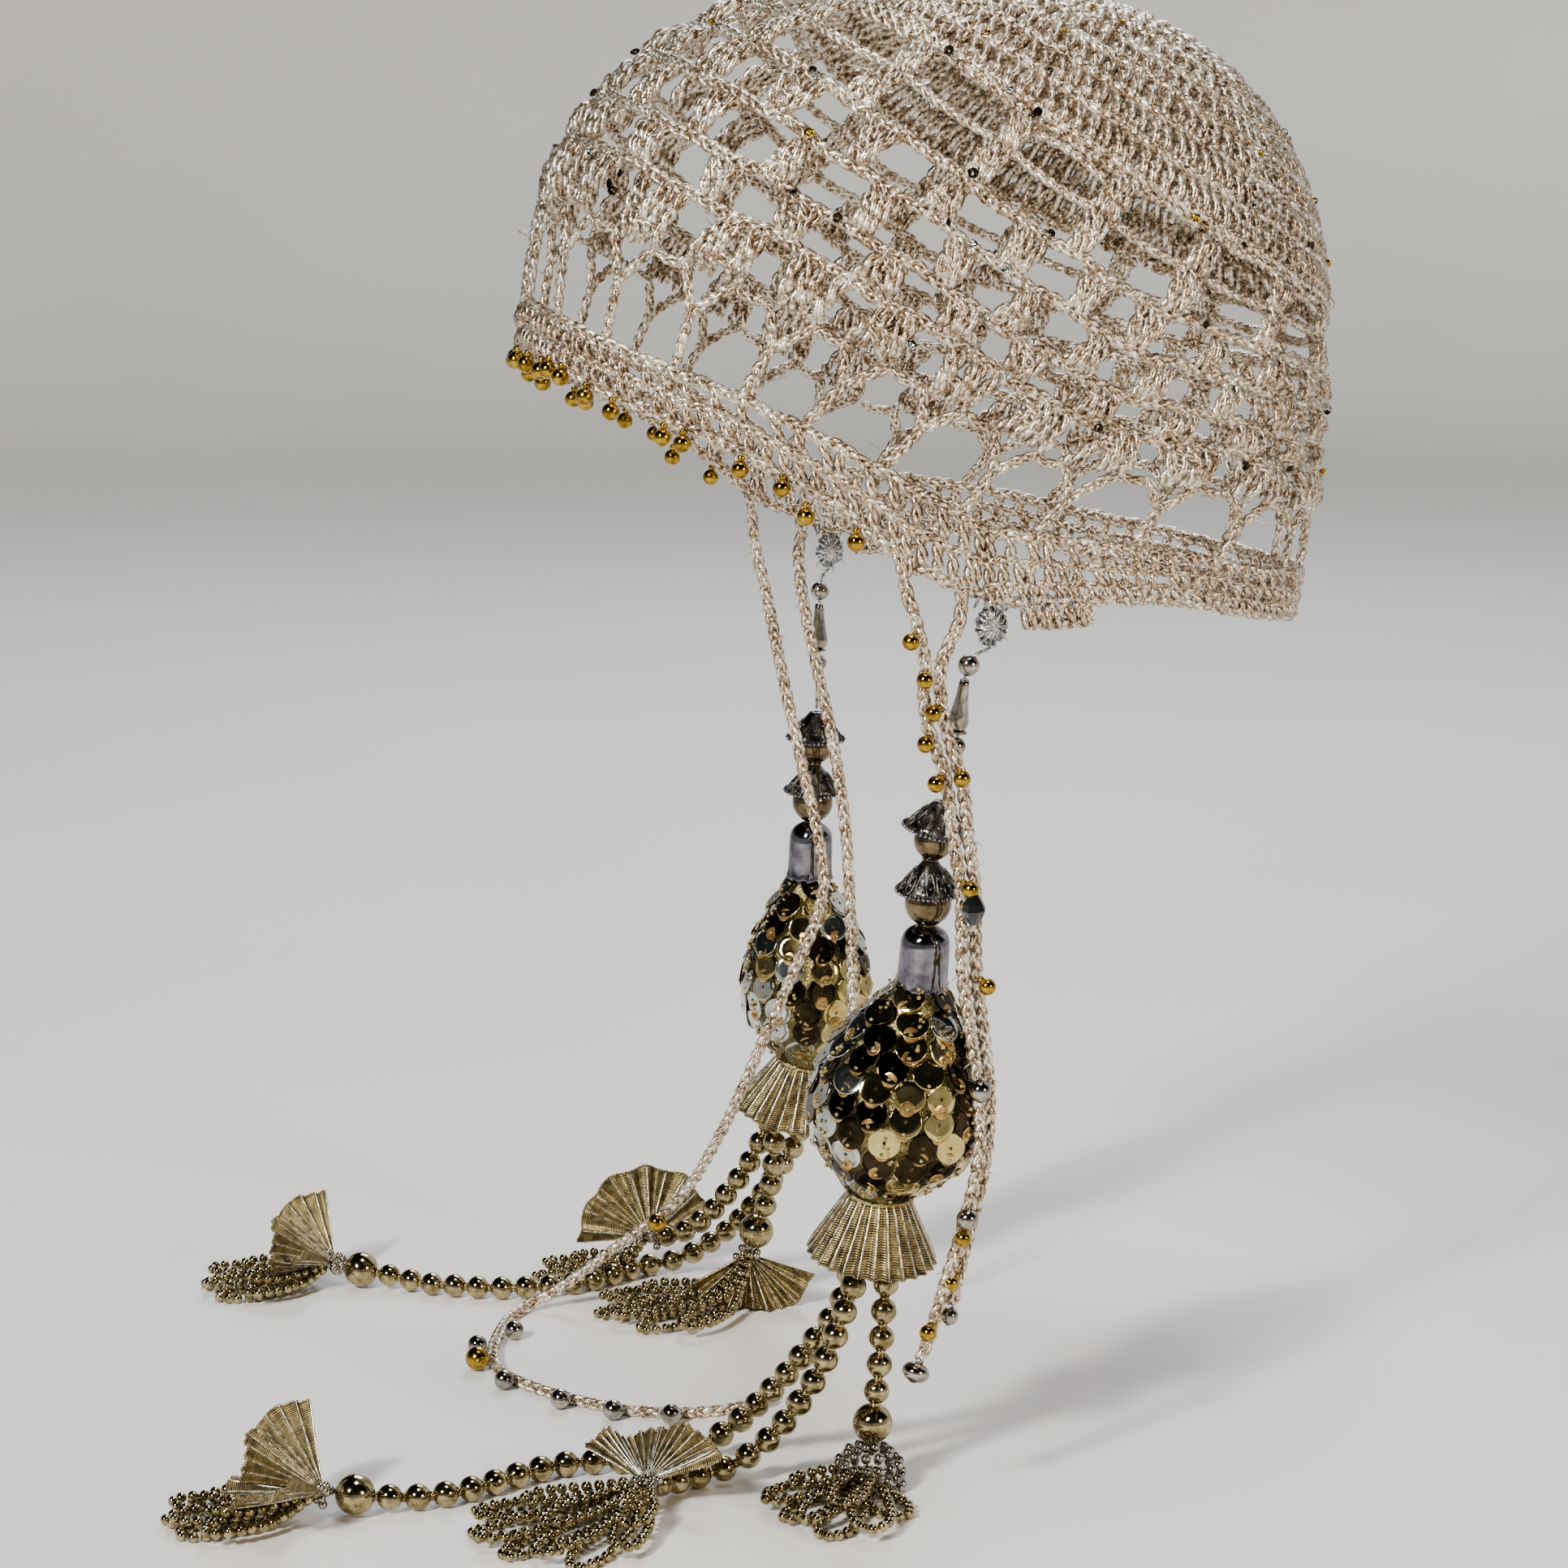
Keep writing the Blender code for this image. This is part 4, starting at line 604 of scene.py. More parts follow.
def look(name):
    """Give a material of the set, made when it is first asked for."""
    if name not in LOOKS:
        colours = bpy.context.scene.headpiece_yarn
        makers = {
            # Yarn and thread ramps: the darkest stop is partly painted shade and the palest stop is a painted
            # highlight (glint)
            "yarn": lambda: yarn_material(
                "champagne_metallic_yarn",
                ((0.35, "#33251a"), (0.43, "#8c7154"), (0.50, colours_hex(colours.body)),
                 (0.57, colours_hex(colours.painted_glint))), 0.86, 0.24),
            "thread": lambda: yarn_material(
                "silver_lurex_thread", ((0.42, "#2e2e32"), (0.5, "#8d8d90"), (0.57, "#f2f2f4")), 0.85, 0.25),
            "silver": lambda: metal_material("metallised_silver_bead", "#b9b3a8", "#6f6a60", 0.09, 3.0 * MM),
            # Pale gold, brass and steel get base colours darker than the metals' own: a painted reflection of
            # dark surroundings
            "pale_gold": lambda: metal_material("metallised_pale_gold_bead", "#b8ab80", "#6a5c38", 0.08,
                                                3.0 * MM),
            "brass": lambda: metal_material("polished_brass_painted_dark", "#7f6f52", "#3c3122", 0.07, 4.0 * MM),
            "steel": lambda: metal_material("polished_silver_plate", "#8b8993", "#4c4a52", 0.07, 6.0 * MM),
            "filigree": lambda: metal_material("oxidised_filigree", "#77736d", "#26231f", 0.22, 2.2 * MM,
                                               bumpy=0.2),
            "gold": lambda: metal_material("yellow_gold_plate", "#bd9a36", "#6e5214", 0.12, 2.0 * MM),
            "sequin": lambda: metal_material("gold_mirror_sequin", "#dccd8c", "#a08c4a", 0.06, 9.0 * MM),
            "sequin_dark": lambda: metal_material("smoked_mirror_sequin", "#3a3020", "#15110a", 0.07,
                                                  9.0 * MM),
            "sequin_silver": lambda: metal_material("silver_mirror_sequin", "#d6dad6", "#9aa39c", 0.08,
                                                    9.0 * MM),
            "glitter": lambda: metal_material("gold_glitter_thread", "#d8c987", "#4a3d18", 0.22, 0.5 * MM,
                                              bumpy=1.0),
            "lame": lambda: lame_material("pleated_gold_lame", "#6f6344", "#221c11", "#b5a26c"),
            # Fold: pale silver laid along pleat ridges as a painted highlight
            "fold": lambda: metal_material("painted_highlight_fold", "#e8e4d6", "#a29a80", 0.22, 1.5 * MM,
                                           bumpy=0.4),
            "holder": lambda: metal_material("amber_cup_sequin", "#c9a468", "#7a5a30", 0.16, 3.0 * MM,
                                             metallic=0.75),
            "crystal": crystal_material,
        }
        LOOKS[name] = makers[name]()
    return LOOKS[name]


def colours_hex(colour):
    """Turn a colour property into an sRGB hex colour."""
    return "#" + "".join("%02x" % round(min(max(channel, 0.0), 1.0) * 255) for channel in colour[:3])


# Net

def ring_row(skein, share, width, wave=0.004, lift=1.4 * MM):
    """Work one round of chain at a share of the way down the net."""
    turn = np.linspace(0.0, TAU, 361)
    wander = wave * (np.sin(turn * 13.0 + share * 40.0) + np.sin(turn * 29.0 + share * 90.0))
    path = net_path(turn, share + wander, lift)
    plait(skein, path, outward(path), width)


def post(skein, turn, share, width, bulge):
    """Work one post between two places of the net, bulging outward between them."""
    t = np.linspace(0.0, 1.0, 7)
    bow = rng.normal(0.0, 0.006)
    turns = turn[0] + (turn[1] - turn[0]) * t + bow * np.sin(t * math.pi)
    shares = share[0] + (share[1] - share[0]) * t
    path = net_path(turns, shares, 0.9 * MM + bulge * np.sin(t * math.pi))
    twist(skein, path, outward(path), width)


def cluster(skein, turn, half, share, count, width, gather=0.45, bulge=1.6 * MM):
    """Work a cluster of posts, drawn together at one end, with yarn wrapped across it."""
    drawn_up = rng.random() < 0.5
    lean = rng.normal(0.12, 0.10) * half
    for place in np.linspace(-1.0, 1.0, count):
        wide = turn + half * (place + rng.normal(0.0, 0.09))
        tight = turn + half * (place * gather + rng.normal(0.0, 0.09)) + lean
        ends = (tight, wide) if drawn_up else (wide, tight)
        post(skein, ends, share, width * rng.uniform(0.85, 1.2), bulge * rng.uniform(0.6, 1.5))
    middle = (share[0] + share[1]) / 2.0
    reach = share[1] - share[0]
    for _ in range(2):
        level = middle + rng.uniform(-0.28, 0.28) * reach
        slope = rng.uniform(0.1, 0.35) * reach
        post(skein, (turn - half * 0.8, turn + half * 0.8), (level - slope, level + slope),
             width * 0.72, bulge * 1.2)


def build_crown(settings):
    """Work the dense patch at the back of the crown."""
    skein = Skein()
    rounds = 9
    width = settings.strand * 1.06
    for order in range(rounds):
        start = -1.0 + order / rounds
        end = -1.0 + (order + 1) / rounds
        radius = math.sin(PATCH_REACH * (order + 0.6) / rounds) * 92.0 * MM
        count = max(9, int(round(TAU * radius / (3.7 * MM))))
        for place in range(count):
            turn = (place + rng.uniform(-0.12, 0.12)) * TAU / count
            slant = 0.55 * TAU / count
            t = np.linspace(0.0, 1.0, 6)
            shares = start + (end + 0.012 - start) * t
            path = net_path(turn + slant * t, shares, 0.8 * MM + 1.3 * MM * np.sin(t * math.pi),
                            1.25 * MM)
            twist(skein, path, outward(path), width * 1.15)
        turn = np.linspace(0.0, TAU, 181)
        path = net_path(turn, end - 0.004 + 0.004 * np.sin(turn * 17.0), 2.3 * MM, 1.25 * MM)
        plait(skein, path, outward(path), width * 0.92)
    return skein.make("yarn_patch", [look("yarn")])


def build_net(settings):
    """Work the open rounds between the patch and the bands."""
    width = settings.strand
    upper = Skein()
    fan = TAU / FAN_COUNT
    ring_row(upper, 0.012, width * 1.05)
    for place in range(FAN_COUNT):
        turn = place * fan
        half = fan * 0.10
        cluster(upper, turn, half, (0.01, 0.135), 4, width)
        cluster(upper, turn, half, (0.125, 0.262), 4, width)
        t = np.linspace(0.0, 1.0, 12)
        for level, sag in ((0.125, 0.012), (0.055, -0.02)):
            if level < 0.1 and place % 3:
                continue
            path = net_path(turn + half * 0.6 + (fan - half * 1.2) * t, level + sag * np.sin(t * math.pi),
                            1.2 * MM)
            plait(upper, path, outward(path), width * 0.86)
    shell = TAU / SHELL_COUNT
    ring_row(upper, 0.262, width * 1.04)
    rows = ((0.268, 0.388, 0.60, 0.0), (0.398, 0.518, 0.66, 0.5), (0.526, 0.626, 0.58, 0.0))
    for start, end, opening, shift in rows:
        for place in range(SHELL_COUNT):
            turn = (place + shift + 0.5) * shell + rng.normal(0.0, 0.008)
            cluster(upper, turn, (1.0 - opening) * shell * 0.46, (start, end), 4, width)
        ring_row(upper, end + 0.004, width)
    upper_piece = upper.make("yarn_net_upper", [look("yarn")])

    lower = Skein()
    for place in range(SHELL_COUNT):
        turn = place * shell + rng.normal(0.0, 0.008)
        cluster(lower, turn, shell * 0.32, (0.628, 0.775 + rng.uniform(-0.01, 0.012)), 5, width,
                gather=0.6, bulge=2.0 * MM)
        t = np.linspace(0.0, 1.0, 9)
        for side in (-1.0, 1.0):
            turns = turn + side * shell * (0.30 * (1.0 - t) ** 1.3 + 0.02)
            path = net_path(turns, 0.765 + 0.105 * t, 1.3 * MM)
            plait(lower, path, outward(path), width * 0.9)
        lean = rng.normal(0.0, 0.012)
        path = net_path(turn + lean * t, 0.862 + 0.135 * t, 1.3 * MM)
        plait(lower, path, outward(path), width * 0.95)
        # A chain closes the top of each arch between two clusters
        turns = turn + shell * (0.30 + 0.40 * t)
        path = net_path(turns, 0.768 + 0.012 * np.sin(t * math.pi), 1.3 * MM)
        plait(lower, path, outward(path), width * 0.82)
    lower.make("yarn_net_arches", [look("yarn")])
    return upper_piece


FRONT_BAND = dict(name="yarn_front_band", start=-BAND_SPLIT, end=BAND_SPLIT,
                  chains=((0.04, 1.0), (0.46, 0.9), (0.86, 1.0)),
                  ladders=((0.04, 0.46, 6.6 * MM), (0.46, 0.88, 4.7 * MM)),
                  ties=("near_tie_front", "near_tie_rear", "far_tie_front", "far_tie_rear"))
NAPE_BAND = dict(name="yarn_nape_band", start=BAND_SPLIT, end=360.0 - BAND_SPLIT,
                 chains=((0.04, 1.0), (0.40, 0.85), (0.72, 0.85), (0.95, 1.0)),
                 ladders=((0.04, 0.40, 6.0 * MM), (0.40, 0.72, 4.4 * MM), (0.70, 0.98, 3.4 * MM)), ties=())


def build_band(band, settings):
    """Work a band: chains round it and ladders of posts between them, doubled over the forehead."""
    skein = Skein()
    width = settings.strand
    start = band["start"]
    end = band["end"]
    turn = np.linspace(start, end, 241)
    length = along(band_path(turn, 0.5, 1.3 * MM, 3.0 * MM))[-1]
    ripple = np.sin(turn * 0.9) * 0.02
    for share, thick in band["chains"]:
        path = band_path(turn, share + ripple, 1.4 * MM)
        plait(skein, path, outward(path), width * thick)
    for first, last, pitch in band["ladders"]:
        count = int(round(length / pitch))
        for place in range(count + 1):
            t = np.linspace(0.0, 1.0, 6)
            at = start + (end - start) * (place + rng.uniform(-0.18, 0.18)) / count
            at = min(max(at, start + 0.6), end - 1.4)
            slant = rng.normal(0.5, 0.5)
            path = band_path(at + slant * t, first + (last - first) * t,
                             1.1 * MM + 0.9 * MM * np.sin(t * math.pi))
            twist(skein, path, outward(path), width * 0.9)
            if abs((at + 180.0) % 360.0 - 180.0) < 26.0:
                path = band_path(at + 2.2 + slant * t, first + (last - first) * t,
                                 1.1 * MM + 1.3 * MM * np.sin(t * math.pi))
                twist(skein, path, outward(path), width * 0.9)
    # Each tie is picked up from stitches inside the band
    for tie in band["ties"]:
        first, second = np.array(ROUTES[tie][:2]) * MM
        at = math.degrees(math.atan2(first[0], -first[1]))
        for aside in (-1.6, 0.0, 1.6):
            root = band_path(np.array([at + aside, at + aside + 0.2]), 0.72, 1.8 * MM)[0]
            path = resample(np.stack([root, first, first * 0.6 + second * 0.4]), 0.9 * MM)
            twist(skein, path, outward(path), width * 0.8)
    return skein.make(band["name"], [look("yarn")])


def build_flap(name, mirror, settings):
    """Work the short fringe of posts below the band at the ear."""
    skein = Skein()
    width = settings.strand
    for at in np.arange(93.0, 106.2, 1.5):
        t = np.linspace(0.0, 1.0, 6)
        deep = 2.0 + rng.uniform(-0.22, 0.18)
        path = band_path(mirror * (at + rng.normal(0.0, 0.5) * t), 1.02 + (deep - 1.05) * t,
                         1.1 * MM + 1.1 * MM * np.sin(t * math.pi))
        twist(skein, path, outward(path), width)
    for share in (1.12, 1.5, 1.86):
        path = band_path(mirror * np.linspace(92.8, 106.0, 20), share, 1.5 * MM)
        plait(skein, path, outward(path), width * 0.85)
    return skein.make(name, [look("yarn")])


def winding(centre, size, turns, seed):
    """Lay thread round and round an egg-shaped knot."""
    t = np.linspace(0.0, turns * TAU, turns * 18)
    tilt = seed + t * 0.217
    x = np.cos(t)
    y = np.sin(t) * np.cos(tilt)
    z = np.sin(t) * np.sin(tilt)
    return centre + np.stack([x, y, z], 1) * size / 2.0


def knot_centre(mirror):
    """Find the middle of the darned knot on one side."""
    top = brim_height([KNOT_TURN], BRIM_BOTTOM)[0] - SEAT_GAP
    level = top - KNOT_LENGTH / 2.0
    angle = math.radians(mirror * KNOT_TURN)
    across = np.array([math.sin(angle), -math.cos(angle)])
    depth = level + CROWN_RISE
    reach = (1.0 - abs(depth / LOWER_REACH) ** LOWER_POWER) ** (1.0 / LOWER_POWER)
    heading = np.append(across * reach / plan_size(across[0], across[1]), depth)
    point = heading + unit(heading) * 1.3 * MM
    point[2] -= CROWN_RISE
    return point


def build_knot(name, mirror):
    """Darn the knot that carries a drop, with silver thread."""
    skein = Skein()
    centre = knot_centre(mirror)
    size = np.array((KNOT_DEPTH, KNOT_WIDTH, KNOT_LENGTH))
    for seed in (0.0, 1.9, 3.7, 5.1):
        path = winding(centre, size * 0.92, 9, seed)
        swell = 1.0 + 0.13 * np.sin(np.arange(len(path)) * 0.61 + seed * 5.0)
        path = centre + (path - centre) * swell[:, None]
        skein.tube(path, path - centre, 0.42 * MM, 4)
    for _ in range(9):
        way = unit(rng.normal(size=3))
        t = np.linspace(0.0, 1.0, 6)[:, None]
        stray = centre + way * (2.6 + 2.4 * t) * MM - np.array((0.0, 0.0, 1.0)) * 1.6 * MM * t * t
        skein.tube(stray, np.tile(axes_for(way)[0], (6, 1)), 0.14 * MM, 3)
    # Darning runs up onto the band beside the knot
    for place in range(16):
        at = 84.0 + place * 1.15
        t = np.linspace(0.0, 1.0, 5)
        path = band_path(mirror * (at + rng.normal(0.0, 1.2) * t), 0.78 + rng.uniform(0.0, 0.1) + 0.26 * t,
                         2.6 * MM, 0.9 * MM)
        skein.tube(path, outward(path), 0.4 * MM, 4)
    return skein.make(name, [look("thread")])


LOOSE_LOOPS = 54


def build_trimmings(settings):
    """Scatter cup sequins on the yarn, and let loose loops of thread stand off it."""
    skein = Skein()
    for _ in range(settings.sequins):
        turn = rng.uniform(0.0, TAU)
        share = rng.choice((0.012, 0.262, 0.392, 0.522, 0.63, 0.66, 0.70, -0.12, -0.3, -0.5))
        share += rng.normal(0.0, 0.004)
        path = net_path(np.array([turn, turn + 0.01]), share, 3.2 * MM)
        out = outward(path)[0]
        tilt = unit(out + rng.normal(0.0, 0.55, 3))
        width = rng.uniform(1.9, 2.6) * MM
        profile = [(0.0, width * 0.12), (0.12 * width, width * 0.3), (0.30 * width, width * 0.5),
                   (0.36 * width, width * 0.5), (0.2 * width, width * 0.3)]
        skein.turned(path[0], tilt, profile, 12, int(rng.choice((0, 0, 1, 1, 2))))
    for _ in range(LOOSE_LOOPS):
        turn = rng.uniform(0.0, TAU)
        share = rng.uniform(-0.4, 0.9)
        t = np.linspace(0.0, 1.0, 10)
        bend = rng.normal(0.0, 0.05)
        path = net_path(turn + 0.06 * rng.normal() * t + bend * t * t, share + 0.03 * rng.normal() * t,
                        2.2 * MM + 3.6 * MM * np.sin(t * math.pi) * rng.uniform(0.3, 1.0), 0.8 * MM)
        skein.tube(path, outward(path), 0.17 * MM, 4, 3)
    return skein.make("cup_sequins", [look("sequin_dark"), look("sequin_silver"), look("gold"), look("yarn")])


# Ties and their beads

def charm(skein, top, out, way=(0.0, 0.0, -1.0)):
    """Hang a small gold ball with a collar from a point."""
    way = unit(np.asarray(way, float))
    ring = np.asarray(top, float) + way * 1.0 * MM
    skein.ball(ring + out * 0.2 * MM, 1.9 * MM, way, 12)
    skein.ball(ring + way * 2.8 * MM, 4.3 * MM, way, 20)


# Turn from the front in degrees and the drop below the brim in millimetres
CHARMS = ((4, -0.6), (10, -0.8), (12.5, -1.8), (16, -1.4), (21.5, -0.2), (26.5, 0.2), (35, 0.6), (38, 0.0),
          (46.5, 0.0), (52.5, -1.2), (56, 2.2), (63.5, 0.4))


def build_charms():
    """Hang gold ball charms along the brim over the forehead."""
    skein = Skein()
    for at, drop in CHARMS:
        for mirror in (-1.0, 1.0):
            path = band_path(np.array([mirror * at, mirror * at + 0.5]), 0.84, 2.6 * MM)
            top = path[0] - np.array((0.0, 0.0, drop * MM))
            charm(skein, top, outward(path)[0], outward(path)[0] * 0.25 - np.array((0.0, 0.0, 1.0)))
    return skein.make("brim_charms", [look("gold")])


def bead_place(bead, path):
    """Find where a tie bead sits beside its cord, as in the part."""
    radius = bead["width"] * MM / 2.0
    half = CRYSTAL_LENGTH / 2.0 if bead["look"] == "crystal" else radius * bead.get("stretch", 1.0)
    if "at" not in bead:
        place, way = point_along(path, along(path)[-1])
        middle = place + way * (half + SEAT_GAP)
        middle[2] = max(middle[2], SURFACE + radius)
        return middle, way
    place, way = point_along(path, bead["at"] * MM)
    angle = math.radians(bead["turn"])
    side = np.array((math.sin(angle), -math.cos(angle), 0.0))
    side = unit(side - way * side.dot(way))
    apart = CORD_DIAMETER / 2.0 + radius + SEAT_GAP
    lift = max(0.0, SURFACE + radius - place[2])
    return place + side * math.sqrt(apart ** 2 - lift ** 2) + np.array((0.0, 0.0, lift)), way


def build_tie_bead(bead, path):
    """Replace one bead of the part by a finished one with a thread through it."""
    skein = Skein()
    middle, way = bead_place(bead, path)
    width = bead["width"] * MM
    stretch = bead.get("stretch", 1.0)
    if bead["look"] == "crystal":
        profile = [(-3.5, 0.5), (-3.5, 1.3), (-1.6, 2.4), (0.0, 3.0), (1.6, 2.4), (3.5, 1.3), (3.5, 0.5)]
        skein.turned(middle, way, np.array(profile) * MM, 8)
    else:
        skein.ball(middle, width, way, 20, stretch=stretch)
        for side in (-1.0, 1.0):
            skein.turned(middle, way * side,
                         [(width * 0.40 * stretch, width * 0.16), (width * 0.52 * stretch, width * 0.14),
                          (width * 0.52 * stretch, width * 0.05)], 10)
    piece = skein.make(bead["name"] + "_bead", [look(bead["look"])], bead["look"] != "crystal")
    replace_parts(piece, bead["name"])
    return piece


def build_tie(name, settings):
    """Plait one tie cord along its route."""
    skein = Skein()
    path = smooth_route(ROUTES[name], 0.9 * MM)
    side = np.tile(np.array((0.97, -0.24, 0.1)), (len(path), 1))
    plait(skein, path, side, settings.strand, sides=5)
    # Short ends of yarn stick out where the cord was knotted
    reach = along(path)[-1]
    for _ in range(7):
        place, way = point_along(path, rng.uniform(0.05, 0.95) * reach)
        out = unit(np.cross(way, rng.normal(size=3)))
        t = np.linspace(0.0, 1.0, 5)[:, None]
        stub = place + out * (0.4 + 2.6 * t) * MM + way * 1.2 * MM * t * t
        skein.tube(stub, np.tile(way, (5, 1)), 0.16 * MM, 3)
    return skein.make(name + "_yarn", [look("yarn")]), path


TIE_CHARMS = {"near_tie_front": (12.0, 21.0, 36.0, 46.0, 72.0, 158.0, 182.0),
              "near_tie_rear": (24.0, 40.0, 92.0, 166.0)}


def build_tie_charms(name, path):
    """Hang small gold balls on a near tie."""
    skein = Skein()
    for at in TIE_CHARMS[name]:
        place, _ = point_along(path, at * MM)
        out = unit(np.array((0.9, rng.uniform(-0.9, 0.5), 0.0)))
        way = unit(out + np.array((0.0, 0.0, -0.5)))
        skein.ball(place + way * 2.0 * MM, 1.9 * MM, way, 12)
        skein.ball(place + way * 4.7 * MM, 4.1 * MM, way, 20)
    return skein.make(name + "_charms", [look("gold")])


# Drops

def drop_line(side):
    """Lay the line down which a drop's pieces hang."""
    centre = knot_centre(1.0 if side == "near" else -1.0)
    top = centre - np.array((0.0, 0.0, KNOT_LENGTH / 2.0 + SEAT_GAP))
    return smooth_route((tuple(top / MM),) + ROUTES[side + "_drop"], 1.5 * MM)


def chord(line, start, length):
    """Give the place and way of a straight piece between two distances of a line."""
    first, _ = point_along(line, start)
    last, _ = point_along(line, start + length)
    return first, unit(last - first)


def build_chain(side, line):
    """Thread the small beads above the filigree caps."""
    skein = Skein()
    reach = CHAIN_THREAD_TOP
    place, way = point_along(line, reach + CHAIN_BALL / 2.0)
    skein.ball(place, CHAIN_BALL, way, 20, 1)
    reach += CHAIN_BALL + CHAIN_THREAD
    place, way = point_along(line, reach)
    wide = CHAIN_BALL / 2.0
    profile = [(0.0, 0.18), (0.0, 0.42), (0.1, 0.50), (0.3, 0.56), (0.5, 0.68), (0.68, 0.86), (0.82, 1.0),
               (0.92, 0.97), (0.98, 0.8), (1.0, 0.5), (1.0, 0.2)]
    skein.turned(place, way, [(d * CHAIN_TEARDROP, r * wide) for d, r in profile], 24, 1)
    reach += CHAIN_TEARDROP
    place, way = point_along(line, reach + CHAIN_THREAD * 0.7)
    skein.ball(place, 4.2 * MM, way, 20, 1, stretch=0.3)
    reach += 2.0 * CHAIN_THREAD
    place, way = point_along(line, reach + CHAIN_SMALL_BALL / 2.0)
    skein.ball(place, CHAIN_SMALL_BALL, way, 20, 1)
    total = reach + CHAIN_SMALL_BALL + CHAIN_THREAD_LOW
    path = np.array([point_along(line, at)[0] for at in np.arange(0.0, total, 0.8 * MM)])
    twist(skein, path, np.tile((1.0, 0.0, 0.0), (len(path), 1)), CHAIN_THREAD)
    piece = skein.make(side + "_chain_beads", [look("thread"), look("silver")])
    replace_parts(piece, side + "_drop_chain")
    return total


def build_filigree(name, node, place, way):
    """Grain a conical bead cap: petals of wire on a thin cone, with beads on them and on its rim."""
    skein = Skein()
    low = FILIGREE_WIDTH / 2.0
    height = FILIGREE_HEIGHT
    petals = 14

    def wavy(angle, reach, depth):
        """Let the rim rise and fall between petals."""
        swing = np.cos(angle * petals)
        deep = np.clip(depth / height, 0.0, 1.0) ** 3
        return reach + swing * deep * 0.15 * MM, depth + swing * deep * 0.2 * MM

    profile = [(0.0, 0.10), (0.02, 0.24), (0.20, 0.38), (0.40, 0.53), (0.60, 0.68), (0.80, 0.84),
               (0.98, 0.97), (0.99, 0.92), (0.70, 0.66), (0.45, 0.45), (0.30, 0.25)]
    skein.turned(place, way, [(d * height, r * low) for d, r in profile], 84, 0, wavy)
    across, up = axes_for(way)
    for petal in range(petals):
        angle = (petal + 0.5) * TAU / petals
        t = np.linspace(0.0, TAU, 18)
        deep = 0.62 + 0.33 * np.cos(t)
        turn = angle + 0.16 * np.sin(t)
        reach = (0.24 + 0.72 * deep) * low + 0.25 * MM
        path = place + way * (deep * height)[:, None] + reach[:, None] * (
            np.cos(turn)[:, None] * across + np.sin(turn)[:, None] * up)
        skein.tube(path, np.tile(way, (len(path), 1)), 0.2 * MM, 4, 0)
        for level, width in ((0.42, 0.7), (0.68, 0.9)):
            spot = place + way * level * height + (0.245 + 0.735 * level) * low * (
                math.cos(angle) * across + math.sin(angle) * up)
            skein.ball(spot, width * MM, way, 8, 1)
    for grain in range(petals * 3):
        angle = grain * TAU / (petals * 3)
        spot = place + way * height * 0.97 + low * (math.cos(angle) * across + math.sin(angle) * up)
        skein.ball(spot, 0.95 * MM, way, 8, 1)
    piece = skein.make(name, [look("filigree"), look("steel")])
    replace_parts(piece, node)


def build_bell(side, place, way):
    """Draw the bell cup with round shoulders and a scalloped lip."""
    skein = Skein()
    wide = BELL_WIDTH / 2.0

    def scalloped(angle, reach, depth):
        """Scallop the lip."""
        deep = np.clip(depth / BELL_HEIGHT, 0.0, 1.0) ** 6
        return reach + deep * 0.12 * MM * np.cos(angle * 12), depth - deep * 0.35 * MM * (
            1.0 + np.cos(angle * 12))

    profile = [(0.0, 0.12), (0.0, 0.42), (0.02, 0.50), (0.05, 0.64), (0.09, 0.76), (0.15, 0.87), (0.24, 0.94),
               (0.36, 0.965), (0.6, 0.975), (0.85, 0.99), (0.97, 1.03), (1.0, 1.05), (1.0, 0.98),
               (0.96, 0.93), (0.6, 0.88), (0.3, 0.85), (0.16, 0.7)]
    skein.turned(place, way, [(d * BELL_HEIGHT, r * wide) for d, r in profile], 72, 0, scalloped)
    skein.turned(place, way, [(-0.4 * MM, 0.8 * MM), (-0.4 * MM, 2.0 * MM), (0.3 * MM, 2.7 * MM),
                              (0.9 * MM, 2.4 * MM)], 24, 1)
    piece = skein.make(side + "_bell", [look("steel"), look("brass")])
    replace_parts(piece, side + "_bell_cup")


SEQUIN_PROFILE = ((0.03, 0.06), (0.03, 0.10), (0.03, 0.30), (0.035, 0.47), (0.02, 0.5), (0.0, 0.48),
                  (0.0, 0.30))


def disc(skein, centre, out, width, slot, tilt):
    """Add one sequin: a flat disc with a small hole, tipped by a tilt."""
    skein.turned(centre, unit(out + tilt), [(d * width, r * width) for d, r in SEQUIN_PROFILE], 22, slot)


